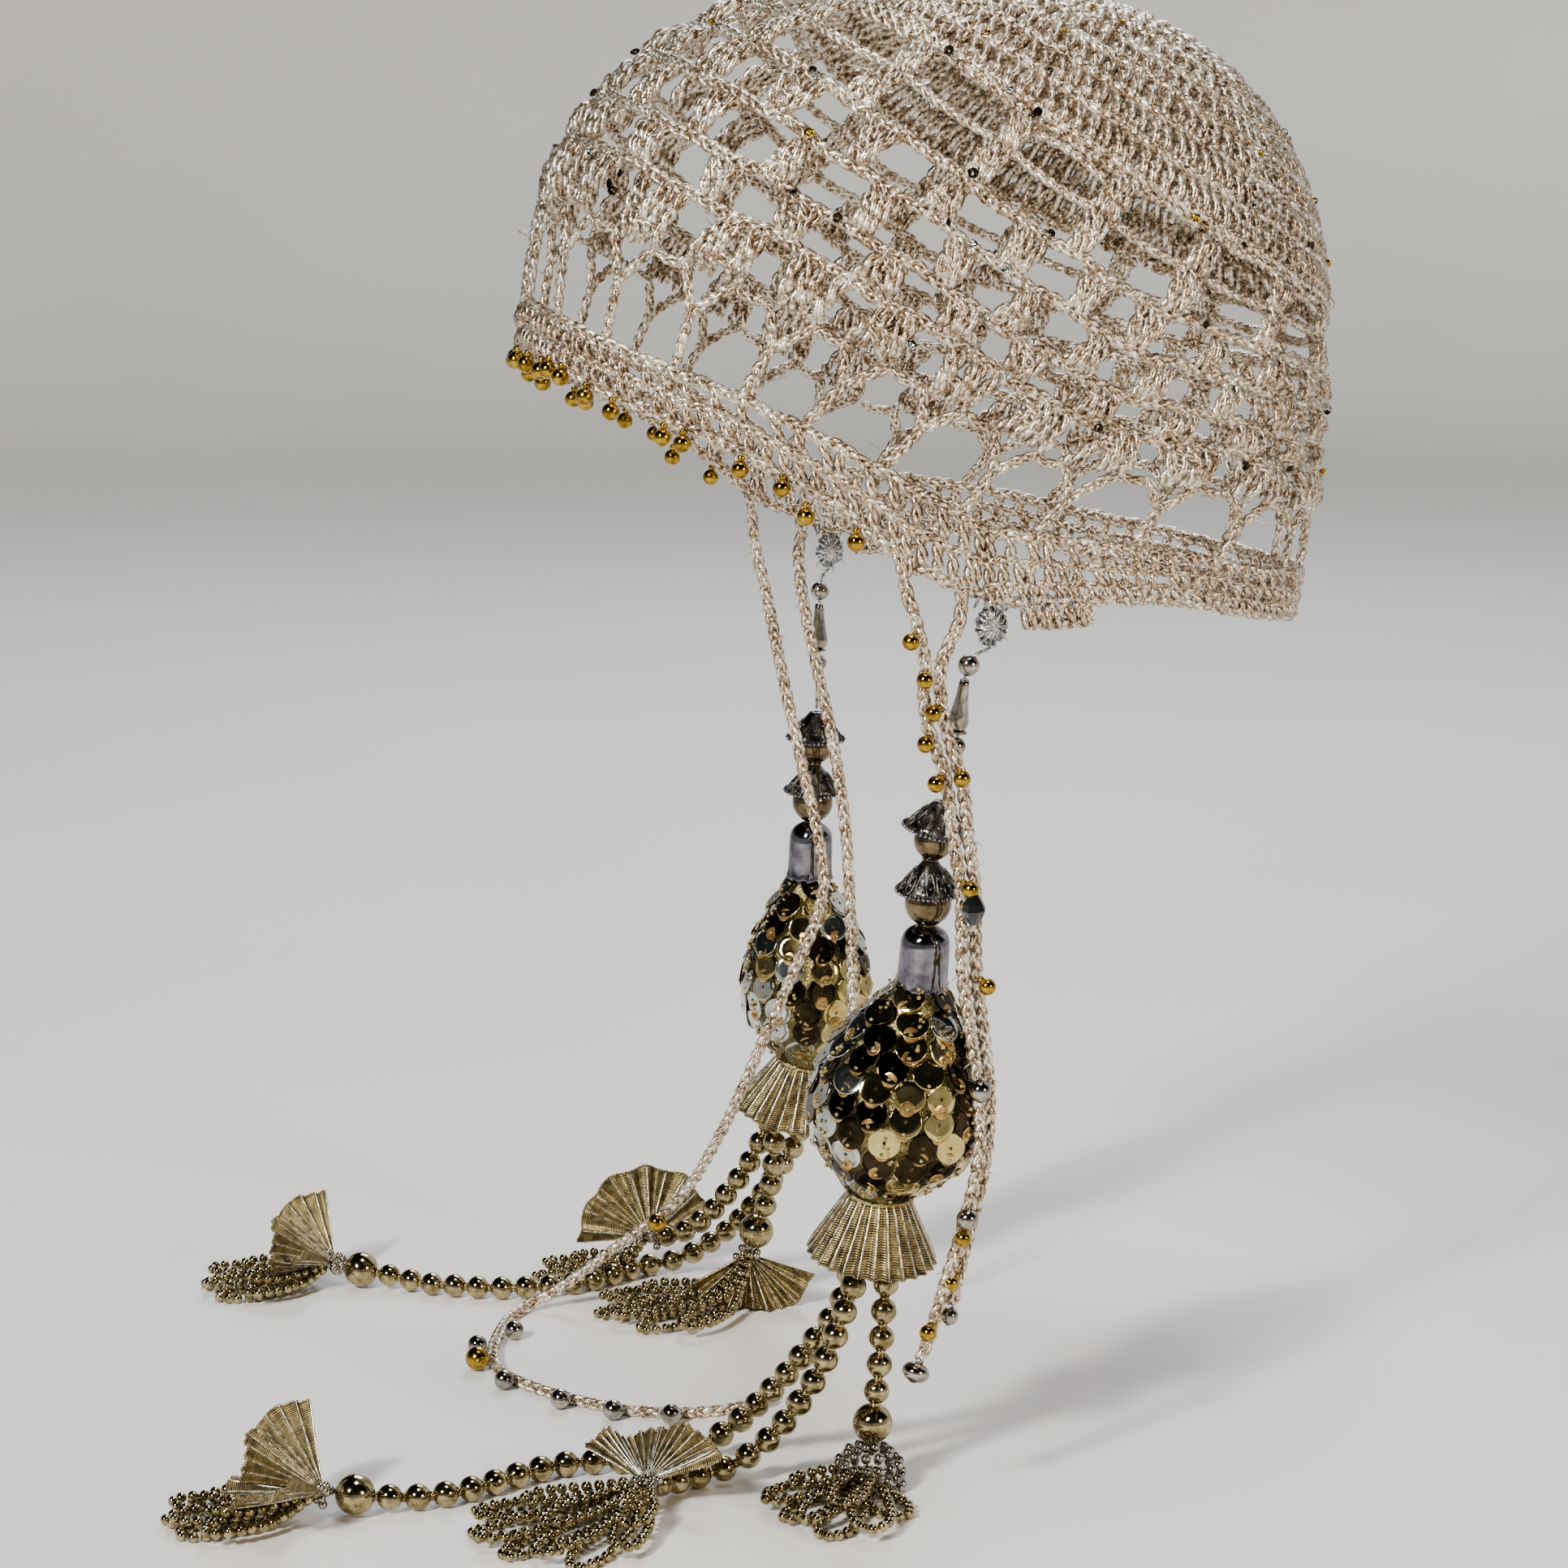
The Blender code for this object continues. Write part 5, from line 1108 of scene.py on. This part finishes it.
def build_body(side, place, way, settings):
    """Sew sequins in rows over the teardrop body, each held by a small cup and a bead."""
    skein = Skein()
    half = BODY_WIDTH[side] / 2.0
    down = np.linspace(0.0, 1.0, 40)
    wide = np.interp(down, BODY_DOWN, BODY_WIDE)
    kernel = np.array((1.0, 2.0, 3.0, 2.0, 1.0)) / 9.0
    wide = np.convolve(np.pad(wide, 2, mode="edge"), kernel, "valid")
    profile = [(0.0, 0.1 * MM)] + [(d * BODY_HEIGHT, r * half * 0.95) for d, r in zip(down, wide)]
    profile += [(BODY_HEIGHT + HUB_HEIGHT, HUB_WIDTH / 2.4), (BODY_HEIGHT + HUB_HEIGHT, 0.2 * MM)]
    skein.turned(place, way, profile, 48, 0)
    across, up = axes_for(way)
    size = settings.sequin * MM
    row = 0
    level = 0.085
    while level < 0.93:
        radius = float(np.interp(level, down, wide)) * half
        count = max(4, int(round(TAU * radius / (size * 0.98))))
        slope = (float(np.interp(level + 0.02, down, wide)) - float(np.interp(level - 0.02, down, wide))) \
            * half / (0.04 * BODY_HEIGHT)
        for spot in range(count):
            angle = (spot + 0.5 * (row % 2)) * TAU / count + rng.normal(0.0, 0.02)
            ray = math.cos(angle) * across + math.sin(angle) * up
            out = unit(ray - way * slope)
            fall = unit(way + ray * slope)
            centre = place + way * level * BODY_HEIGHT + ray * radius + out * 0.7 * MM
            # Neighbours share a finish, because strips of sequins were cut from one foil
            shade = math.sin(angle * 2.0 + row * 0.4) + rng.normal(0.0, 0.75)
            slot = 1 if shade > 0.45 else (2 if shade > -0.9 else 3)
            disc(skein, centre, out, size, slot, rng.normal(0.0, 0.10, 3) - way * 0.14)
            holder = centre + fall * size * 0.36 + out * 0.35 * MM
            disc(skein, holder, out, size * 0.46, 5, rng.normal(0.0, 0.08, 3))
            skein.ball(holder + out * 0.45 * MM, 1.1 * MM, out, 8, 4)
        level += size * 0.74 / (BODY_HEIGHT * math.sqrt(1.0 + slope * slope))
        row += 1
    # Glitter thread runs down the seams between the strips of sequins
    t = np.linspace(0.03, 0.97, 60)
    for seam in range(6):
        angle = seam * TAU / 6.0 + 0.16 * np.sin(t * 9.0 + seam) + 0.3
        radius = np.interp(t, down, wide) * half + 1.0 * MM
        path = place + way * (t * BODY_HEIGHT)[:, None] + radius[:, None] * (
            np.cos(angle)[:, None] * across + np.sin(angle)[:, None] * up)
        for grain in resample(path, 1.25 * MM):
            skein.ball(grain + rng.normal(0.0, 0.45, 3) * MM, rng.uniform(0.8, 1.3) * MM, rng.normal(size=3),
                       8, 4)
    piece = skein.make(side + "_sequinned_body",
                       [look("glitter"), look("sequin"), look("sequin_dark"), look("sequin_silver"),
                        look("glitter"), look("holder")])
    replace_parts(piece, side + "_drop_body")


def build_skirt(side, place, way):
    """Fold the pleated skirt below the body."""
    skein = Skein()
    pleats = 26
    top = SKIRT_TOP_WIDTH / 2.0
    low = SKIRT_WIDTH / 2.0

    def pleated(angle, reach, depth):
        """Raise a narrow ridge at each pleat, deeper towards the hem."""
        phase = np.cos(angle * pleats)
        ridge = np.sign(phase) * np.abs(phase) ** 0.6
        deep = 0.25 + 0.75 * np.clip(depth / SKIRT_HEIGHT, 0.0, 1.0)
        return reach + ridge * deep * 0.5 * MM, depth

    rows = [(t * SKIRT_HEIGHT, top + (low - top) * t) for t in np.linspace(0.0, 1.0, 9)]
    inner = [(t * SKIRT_HEIGHT, top + (low - top) * t - 0.7 * MM) for t in np.linspace(1.0, 0.0, 5)]
    skein.turned(place, way, rows + inner + rows[:1], pleats * 8, 0, pleated)
    # Pale silver tubes along each fold: a painted highlight on the pleat ridges
    across, up = axes_for(way)
    t = np.linspace(0.0, 1.0, 9)
    for pleat in range(pleats):
        turn = pleat * TAU / pleats
        ray = math.cos(turn) * across + math.sin(turn) * up
        reach = top + (low - top) * t + (0.25 + 0.75 * t) * 0.6 * MM
        path = place + way * (t * SKIRT_HEIGHT)[:, None] + ray * reach[:, None]
        skein.tube(path, np.tile(ray, (len(path), 1)), 0.36 * MM, 4, 2)
    # A roll of gold thread gathers the skirt at its top
    angle = np.linspace(0.0, TAU * 2.0, 60)
    path = place + way * 0.4 * MM + (top + 0.3 * MM) * (
        np.cos(angle)[:, None] * across + np.sin(angle)[:, None] * up)
    twist(skein, path, np.tile(way, (len(path), 1)), 1.5 * MM, slot=1)
    piece = skein.make(side + "_pleated_skirt", [look("lame"), look("glitter"), look("fold")])
    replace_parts(piece, side + "_drop_skirt")


def build_drop(side, settings):
    """Build one drop from its knot down to its skirt; give its hub."""
    line = drop_line(side)
    reach = build_chain(side, line)
    for order, ball in (("upper", UPPER_BALL), ("lower", LOWER_BALL)):
        reach += SEAT_GAP
        place, way = chord(line, reach, FILIGREE_HEIGHT)
        build_filigree(side + "_filigree_cap_" + order, side + "_filigree_" + order, place, way)
        reach += FILIGREE_HEIGHT - FILIGREE_TUCK
        place, way = chord(line, reach, ball)
        skein = Skein()
        skein.ball(place + way * ball / 2.0, ball, way, 36)
        skein.turned(place, way, [(ball * 0.93, 0.9 * MM), (ball * 0.96, 2.0 * MM), (ball * 1.01, 2.0 * MM),
                                  (ball * 1.01, 0.8 * MM)], 20)
        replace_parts(skein.make(side + "_brass_ball_" + order, [look("brass")]), side + "_ball_" + order)
        reach += ball
    reach += SEAT_GAP
    build_bell(side, *chord(line, reach, BELL_HEIGHT))
    reach += BELL_HEIGHT - BELL_TUCK
    place, way = chord(line, reach, BODY_HEIGHT)
    build_body(side, place, way, settings)
    end, _ = point_along(line, reach + BODY_HEIGHT)
    reach += BODY_HEIGHT
    build_skirt(side, *chord(line, reach, SKIRT_HEIGHT))
    return end + way * (HUB_HEIGHT + SEAT_GAP), way


# Strings of beads and tassels

STRINGS = (
    dict(name="near_string_1", turn=180.0, large=True),
    dict(name="near_string_2", turn=-60.0, large=True),
    dict(name="near_string_3", turn=60.0, large=False),
    dict(name="far_string_1", turn=33.0, large=True),
    dict(name="far_string_2", turn=-87.0, large=False),
    dict(name="far_string_3", turn=153.0, large=True),
)


def string_path(row, hub):
    """Lay a string's line from its hub along its route."""
    place, way = hub
    angle = math.radians(row["turn"])
    side = np.array((math.sin(angle), -math.cos(angle), 0.0))
    side = unit(side - way * side.dot(way))
    head = place + side * (STRING_BEAD + SEAT_GAP) / math.sqrt(3.0)
    return smooth_route((tuple(head / MM),) + ROUTES[row["name"]], 1.0 * MM)


def build_string(row, path):
    """Thread round beads with small spacers along a string, and a large one at its end."""
    skein = Skein()
    total = along(path)[-1]
    pitch = total / round(total / (STRING_BEAD * 1.05))
    reach = pitch / 2.0
    while reach < total:
        place, way = point_along(path, reach)
        skein.ball(place, STRING_BEAD * rng.uniform(0.97, 1.01), way, 18)
        spacer, way = point_along(path, min(reach + pitch / 2.0, total))
        skein.ball(spacer, 2.6 * MM, way, 10, 0, 0.7)
        reach += pitch
    end, way = point_along(path, total)
    if row["large"]:
        skein.ball(end + way * LARGE_BEAD / 2.0, LARGE_BEAD, way, 28)
    piece = skein.make(row["name"] + "_beads", [look("pale_gold")])
    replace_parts(piece, row["name"])
    return end + way * (LARGE_BEAD if row["large"] else 0.0), way


def bead_loop(skein, hub, target, width, lift, size, slot):
    """Lay one closed loop of small beads from a hub to a target on the surface."""
    hub = np.asarray(hub, float)
    target = np.append(np.asarray(target, float) * MM, SURFACE + size / 2.0 + lift)
    t = np.linspace(0.0, TAU, 90)
    reach = (1.0 - np.cos(t)) / 2.0
    flat = target - hub
    flat[2] = 0.0
    across = unit(np.cross((0.0, 0.0, 1.0), flat))
    fall = np.clip(1.0 - reach * 2.2, 0.0, 1.0)[:, None] ** 1.5
    path = hub + flat * reach[:, None] + across * (np.sin(t) * width / 2.0 * reach ** 0.6)[:, None]
    path[:, 2] = SURFACE + size / 2.0 + lift
    path += np.array((0.0, 0.0, 1.0)) * fall * (hub[2] - SURFACE - size / 2.0 - lift)
    for place in resample(path, size * 1.06):
        skein.ball(place + rng.normal(0.0, 0.10, 3) * MM, size, rng.normal(size=3), 10, slot)


FAN_PLEATS = 10


def pleated_fan(skein, apex, fan, slot):
    """Fold a fan of pleated cloth: spread is its whole angle, curl bends it off its plane."""
    length = fan["length"] * MM
    aim = unit(np.asarray(fan["aim"], float))
    side = unit(np.asarray(fan["side"], float) - aim * np.dot(fan["side"], aim))
    out = np.cross(aim, side)
    columns = FAN_PLEATS * 8 + 1
    rows = 9
    angle = np.linspace(-0.5, 0.5, columns) * fan["spread"]
    radius = np.linspace(0.10, 1.0, rows)[:, None] * length
    deep = np.linspace(0.1, 1.0, rows)[:, None]
    fold = np.cos(np.arange(columns) * TAU / 8.0)[None, :]
    ripple = np.sin(angle * 7.0)[None, :] * deep ** 2
    off = fold * deep * 0.9 * MM + ripple * 1.6 * MM + fan["curl"] * (angle[None, :] ** 2) * radius
    reach = radius * (1.0 + 0.03 * np.sin(angle * 11.0)[None, :] * deep)
    points = (apex + reach[..., None] * (np.cos(angle)[None, :, None] * aim
                                         + np.sin(angle)[None, :, None] * side)
              + off[..., None] * out)
    back = points - out * 0.35 * MM
    skein.grid(points, rows, columns, False, slot, np.linspace(0.0, length, rows))
    skein.grid(back[:, ::-1], rows, columns, False, slot, np.linspace(0.0, length, rows))
    # Pale fold tubes on the pleats are a painted highlight on the ridges
    for pleat in range(FAN_PLEATS):
        for column in (pleat * 8, pleat * 8 + 4):
            fold_line = points[:, column] + out * (0.1 if column % 8 == 0 else -0.4) * MM
            skein.tube(fold_line, np.tile(out, (rows, 1)), 0.3 * MM, 4, 3)
    rim = resample(points[-1] - out * 0.17 * MM, 0.9 * MM)
    twist(skein, rim, np.tile(out, (len(rim), 1)), 1.0 * MM, slot=slot)


TASSELS = (
    dict(name="near_tassel_1",
         loops=((52, -53), (60, -55), (68, -52), (75, -49), (81, -45), (85, -35), (73, -25)),
         dome=True, fans=()),
    dict(name="near_tassel_2", loops=((22, -190), (27, -195), (32, -197), (37, -196), (42, -195), (48, -189)),
         dome=False,
         fans=(dict(aim=(-0.2, -0.72, 0.66), side=(0.7, -0.4, -0.3), length=23.0, spread=1.5, curl=0.25),
               dict(aim=(0.3, -0.9, 0.05), side=(0.8, 0.3, 0.3), length=24.0, spread=1.7, curl=0.3))),
    dict(name="near_tassel_3",
         loops=((46, -120), (52, -125), (60, -127), (67, -126), (74, -122), (80, -115), (85, -107),
                (82, -95)),
         dome=False,
         fans=(dict(aim=(-0.35, 0.85, 0.40), side=(0.75, 0.35, -0.1), length=19.0, spread=1.5, curl=-0.2),
               dict(aim=(-0.8, -0.25, 0.42), side=(0.3, -0.8, 0.1), length=17.0, spread=1.3, curl=0.3))),
    dict(name="far_tassel_1",
         loops=((-110, -56), (-102, -63), (-94, -66), (-86, -63), (-78, -57), (-70, -46)),
         dome=False,
         fans=(dict(aim=(0.30, 0.0, -0.75), side=(0.0, 1.0, 0.2), length=19.0, spread=2.3, curl=0.2),)),
    dict(name="far_tassel_2", loops=((-131, -77), (-137, -73), (-143, -66)), dome=False,
         fans=(dict(aim=(-0.35, -0.1, 0.9), side=(0.0, 1.0, 0.0), length=20.0, spread=2.9, curl=0.12),)),
    dict(name="far_tassel_3", loops=((-160, -161), (-155, -168), (-148, -171), (-141, -171), (-134, -168),
                                     (-129, -160)),
         dome=False,
         fans=(dict(aim=(-0.15, -0.75, 0.62), side=(0.7, -0.2, -0.4), length=22.0, spread=1.7, curl=0.25),
               dict(aim=(0.15, -0.95, 0.1), side=(0.8, 0.2, 0.3), length=19.0, spread=1.6, curl=0.3))),
)


def build_tassel(row, end):
    """Finish a string with its dome or pleated fans and its loops of small beads."""
    skein = Skein()
    place, way = end
    hub = place + way * 2.6 * MM
    seed = 2.8 * MM
    if row["dome"]:
        for ring, count in ((0.15, 5), (0.45, 10), (0.75, 14), (1.0, 17), (1.2, 18)):
            for spot in range(count):
                angle = (spot + ring * 3.0) * TAU / count
                bend = min(ring, 1.0) * math.pi / 2.0
                reach = 8.2 * MM * math.sin(bend)
                height = 7.0 * MM * math.cos(bend) - max(ring - 1.0, 0.0) * 14.0 * MM
                skein.ball(hub + np.array((reach * math.cos(angle), reach * math.sin(angle),
                                           height - 5.4 * MM)), seed * 0.92, (0, 0, 1), 10, 1)
        hub = hub - np.array((0.0, 0.0, 5.0 * MM))
    for fan in row["fans"]:
        pleated_fan(skein, hub, fan, 2)
    if row["fans"]:
        for _ in range(14):
            skein.ball(hub + rng.normal(0.0, 1.6, 3) * MM, seed * 0.85, (0, 0, 1), 10, 1)
    start = hub.copy()
    if row["fans"]:
        aim = np.mean([fan["aim"] for fan in row["fans"]], axis=0)
        start += unit(aim * np.array((1.0, 1.0, 0.0))) * 2.0 * MM
    for order, target in enumerate(row["loops"]):
        bead_loop(skein, start, target, rng.uniform(10.0, 13.0) * MM, (order % 2) * 2.4 * MM, seed, 0)
        if order % 3 == 1:
            shorter = np.asarray(target, float) * 0.72 + start[:2] / MM * 0.28
            bead_loop(skein, start, shorter, rng.uniform(9.0, 12.0) * MM, 4.6 * MM, seed, 0)
    piece = skein.make(row["name"] + "_cloth_and_beads",
                       [look("pale_gold"), look("silver"), look("lame"), look("fold")])
    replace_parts(piece, row["name"])


# Stage

FLOOR_REACH = 2.6
COVE = 0.5
WALL_TOP = 0.75
CAMERA_AZIMUTH = 76.0
CAMERA_RISE = 10.6
CAMERA_PLACE = (0.8979, -0.2594, -0.0221)


def build_stage(settings):
    """Lay the floor, set the lights and the camera."""
    sides = 96
    rings = [(0.01, 0.0), (1.2, 0.0), (FLOOR_REACH, 0.0)]
    for step in np.linspace(0.0, math.pi / 2.0, 12)[1:]:
        rings.append((FLOOR_REACH + COVE * math.sin(step), COVE * (1.0 - math.cos(step))))
    rings.append((FLOOR_REACH + COVE, WALL_TOP))
    verts = [(reach * math.cos(side * TAU / sides), reach * math.sin(side * TAU / sides), SURFACE + high)
             for reach, high in rings for side in range(sides)]
    faces = [(row * sides + side, row * sides + (side + 1) % sides,
              (row + 1) * sides + (side + 1) % sides, (row + 1) * sides + side)
             for row in range(len(rings) - 1) for side in range(sides)]
    faces.append(tuple(reversed(range(sides))))
    mesh = bpy.data.meshes.new("floor")
    mesh.from_pydata(verts, [], faces)
    mesh.shade_smooth()
    floor = bpy.data.objects.new("floor", mesh)
    bpy.context.scene.collection.objects.link(floor)
    made, tree, shader = new_material("pale_floor", {"Roughness": 0.6})
    place = add_node(tree, "ShaderNodeTexCoord")
    noise = add_node(tree, "ShaderNodeTexNoise", {"Scale": 3.0, "Detail": 2.0},
                     {"Vector": place.outputs["Object"]})
    tree.links.new(ramp(tree, noise.outputs["Fac"], ((0.3, "#d8d6d2"), (0.7, "#dddbd7"))),
                   shader.inputs["Base Color"])
    mesh.materials.append(made)

    world = bpy.data.worlds.new("studio")
    bpy.context.scene.world = world
    world.use_nodes = True
    tree = world.node_tree
    sky = tree.nodes["Background"]
    sky.inputs["Strength"].default_value = settings.fill
    around = add_node(tree, "ShaderNodeTexCoord")
    split = add_node(tree, "ShaderNodeSeparateXYZ", links={"Vector": around.outputs["Generated"]})
    shade = ramp(tree, split.outputs["Z"], ((0.0, "#cfcdc9"), (0.12, "#8a8b8f"), (0.38, "#2e2f34"),
                                            (1.0, "#1a1b1f")))
    tree.links.new(shade, sky.inputs["Color"])

    for name, aim, power, wide in (("daylight", (-0.62, 0.66, -0.75), settings.sun, 9.0),
                                   ("return", (0.62, -0.66, -0.45), settings.sun * 0.5, 70.0)):
        lamp = bpy.data.lights.new(name, "SUN")
        lamp.energy = power
        lamp.angle = math.radians(wide)
        holder = bpy.data.objects.new(name, lamp)
        holder.rotation_euler = Vector(aim).to_track_quat("-Z", "Y").to_euler()
        bpy.context.scene.collection.objects.link(holder)

    target = Vector((0.0, -0.02, -0.18))
    for name, spot, size, power, colour in (
            ("key", (1.0, -1.2, 0.7), 0.16, settings.key, "#fff8ee"),
            ("side", (1.3, 0.9, 0.3), 0.3, settings.key * 0.4, "#ffe3c2"),
            ("back", (-1.3, 0.4, 0.9), 0.7, settings.key * 0.45, "#eef3ff"),
            ("top", (0.15, 0.1, 1.4), 0.5, settings.key * 0.35, "#ffffff")):
        lamp = bpy.data.lights.new(name, "AREA")
        lamp.size = size
        lamp.energy = power
        lamp.color = linear(colour)[:3]
        holder = bpy.data.objects.new(name, lamp)
        holder.location = spot
        holder.rotation_euler = (target - Vector(spot)).to_track_quat("-Z", "Y").to_euler()
        bpy.context.scene.collection.objects.link(holder)

    azimuth = math.radians(CAMERA_AZIMUTH)
    rise = math.radians(CAMERA_RISE)
    back = Vector((math.sin(azimuth) * math.cos(rise), -math.cos(azimuth) * math.cos(rise), math.sin(rise)))
    right = Vector((math.cos(azimuth), math.sin(azimuth), 0.0))
    lens = bpy.data.cameras.new("camera")
    lens.lens = settings.lens
    lens.sensor_width = 36.0
    lens.clip_start = 0.05
    lens.clip_end = 30.0
    camera = bpy.data.objects.new("camera", lens)
    turn = Matrix((right, back.cross(right), back)).transposed().to_4x4()
    camera.matrix_world = Matrix.Translation(CAMERA_PLACE) @ turn
    bpy.context.scene.collection.objects.link(camera)
    bpy.context.scene.camera = camera


# Add-on

class HeadpieceYarn(bpy.types.PropertyGroup):
    """Sizes and colours of the crocheted yarn."""

    strand: FloatProperty(name="Strand width", description="Width of one chain of yarn", default=3.3 * MM,
                          unit="LENGTH")
    sequins: IntProperty(name="Cup sequins", description="How many cup sequins lie on the net", default=150)
    body: FloatVectorProperty(name="Body colour", description="Champagne body of the yarn, as sRGB values",
                              default=(0.77, 0.71, 0.61), subtype="COLOR_GAMMA")
    # The glint colour is a painted highlight on the yarn's silver streaks
    painted_glint: FloatVectorProperty(name="Glint colour", description="Silver streaks of the yarn, as sRGB values",
                               default=(1.0, 0.985, 0.95), subtype="COLOR_GAMMA")


class HeadpieceDrops(bpy.types.PropertyGroup):
    """Sizes of the drops' trimmings."""

    sequin: FloatProperty(name="Sequin width", description="Width of a mirror sequin in millimetres",
                          default=8.0)


class HeadpieceStage(bpy.types.PropertyGroup):
    """Light and lens."""

    key: FloatProperty(name="Key light", description="Power of the main light", default=34.0, unit="POWER")
    sun: FloatProperty(name="Daylight", description="Strength of the even light over the floor", default=1.8)
    fill: FloatProperty(name="Fill", description="Strength of the surrounding light", default=0.7)
    lens: FloatProperty(name="Lens", description="Focal length", default=86.0, unit="CAMERA")


class HEADPIECE_OT_cap(bpy.types.Operator):
    """Work the cap: patch, open rounds, bands, ear flaps and darned knots"""

    bl_idname = "headpiece.cap"
    bl_label = "Work the cap"

    def execute(self, context):
        """Build every piece of the cap."""
        settings = context.scene.headpiece_yarn
        build_crown(settings)
        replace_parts(build_net(settings), "crown_net")
        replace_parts(build_band(FRONT_BAND, settings), "front_band")
        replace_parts(build_band(NAPE_BAND, settings), "nape_band")
        for side, mirror in (("left", 1.0), ("right", -1.0)):
            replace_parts(build_flap("yarn_flap_" + side, mirror, settings), "ear_flap_" + side)
            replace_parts(build_knot("darning_" + side, mirror), "ear_knot_" + side)
        build_trimmings(settings)
        build_charms()
        return {"FINISHED"}


class HEADPIECE_OT_ties(bpy.types.Operator):
    """Plait the tie cords and set their beads"""

    bl_idname = "headpiece.ties"
    bl_label = "Plait the ties"

    def execute(self, context):
        """Build each cord with the beads on it."""
        settings = context.scene.headpiece_yarn
        ends = {"near_tie_front": "fitting", "near_tie_rear": "fitting", "far_tie_front": "fitting",
                "far_tie_rear": "knot"}
        for name, end in ends.items():
            piece, path = build_tie(name, settings)
            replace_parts(piece, name)
            beads = [build_tie_bead(bead, path) for bead in TIE_BEADS if bead["cord"] == name]
            if name in TIE_CHARMS:
                beads.append(build_tie_charms(name, path))
        return {"FINISHED"}


class HEADPIECE_OT_drops(bpy.types.Operator):
    """Build both drops with their strings of beads and tassels"""

    bl_idname = "headpiece.drops"
    bl_label = "Hang the drops"

    def execute(self, context):
        """Build the drops, then what hangs below them."""
        settings = context.scene.headpiece_drops
        hubs = {side: build_drop(side, settings) for side in ("near", "far")}
        ends = {}
        for row in STRINGS:
            path = string_path(row, hubs[row["name"].split("_")[0]])
            ends[row["name"].replace("string", "tassel")] = build_string(row, path)
        for row in TASSELS:
            build_tassel(row, ends[row["name"]])
        return {"FINISHED"}


class HEADPIECE_OT_stage(bpy.types.Operator):
    """Lay the floor and set the lights and the camera"""

    bl_idname = "headpiece.stage"
    bl_label = "Set the stage"

    def execute(self, context):
        """Build the stage."""
        build_stage(context.scene.headpiece_stage)
        return {"FINISHED"}


class HEADPIECE_PT_panel(bpy.types.Panel):
    """Lists the build steps in the sidebar"""

    bl_label = "Headpiece"
    bl_space_type = "VIEW_3D"
    bl_region_type = "UI"
    bl_category = "Headpiece"

    def draw(self, context):
        """Show the settings and the steps."""
        layout = self.layout
        for group in (context.scene.headpiece_yarn, context.scene.headpiece_drops,
                      context.scene.headpiece_stage):
            for name in group.__annotations__:
                layout.prop(group, name)
        for step in STEPS:
            layout.operator(step.bl_idname)


STEPS = (HEADPIECE_OT_stage, HEADPIECE_OT_ties, HEADPIECE_OT_cap, HEADPIECE_OT_drops)
CLASSES = (HeadpieceYarn, HeadpieceDrops, HeadpieceStage) + STEPS + (HEADPIECE_PT_panel,)


def register():
    """Register the classes and their settings."""
    for item in CLASSES:
        bpy.utils.register_class(item)
    bpy.types.Scene.headpiece_yarn = PointerProperty(type=HeadpieceYarn)
    bpy.types.Scene.headpiece_drops = PointerProperty(type=HeadpieceDrops)
    bpy.types.Scene.headpiece_stage = PointerProperty(type=HeadpieceStage)


def unregister():
    """Take the classes and their settings out again."""
    del bpy.types.Scene.headpiece_yarn
    del bpy.types.Scene.headpiece_drops
    del bpy.types.Scene.headpiece_stage
    for item in reversed(CLASSES):
        bpy.utils.unregister_class(item)


def main():
    """Build everything in order."""
    register()
    bpy.ops.headpiece.stage()
    bpy.ops.headpiece.ties()
    bpy.ops.headpiece.cap()
    bpy.ops.headpiece.drops()


if __name__ == "__main__":
    main()
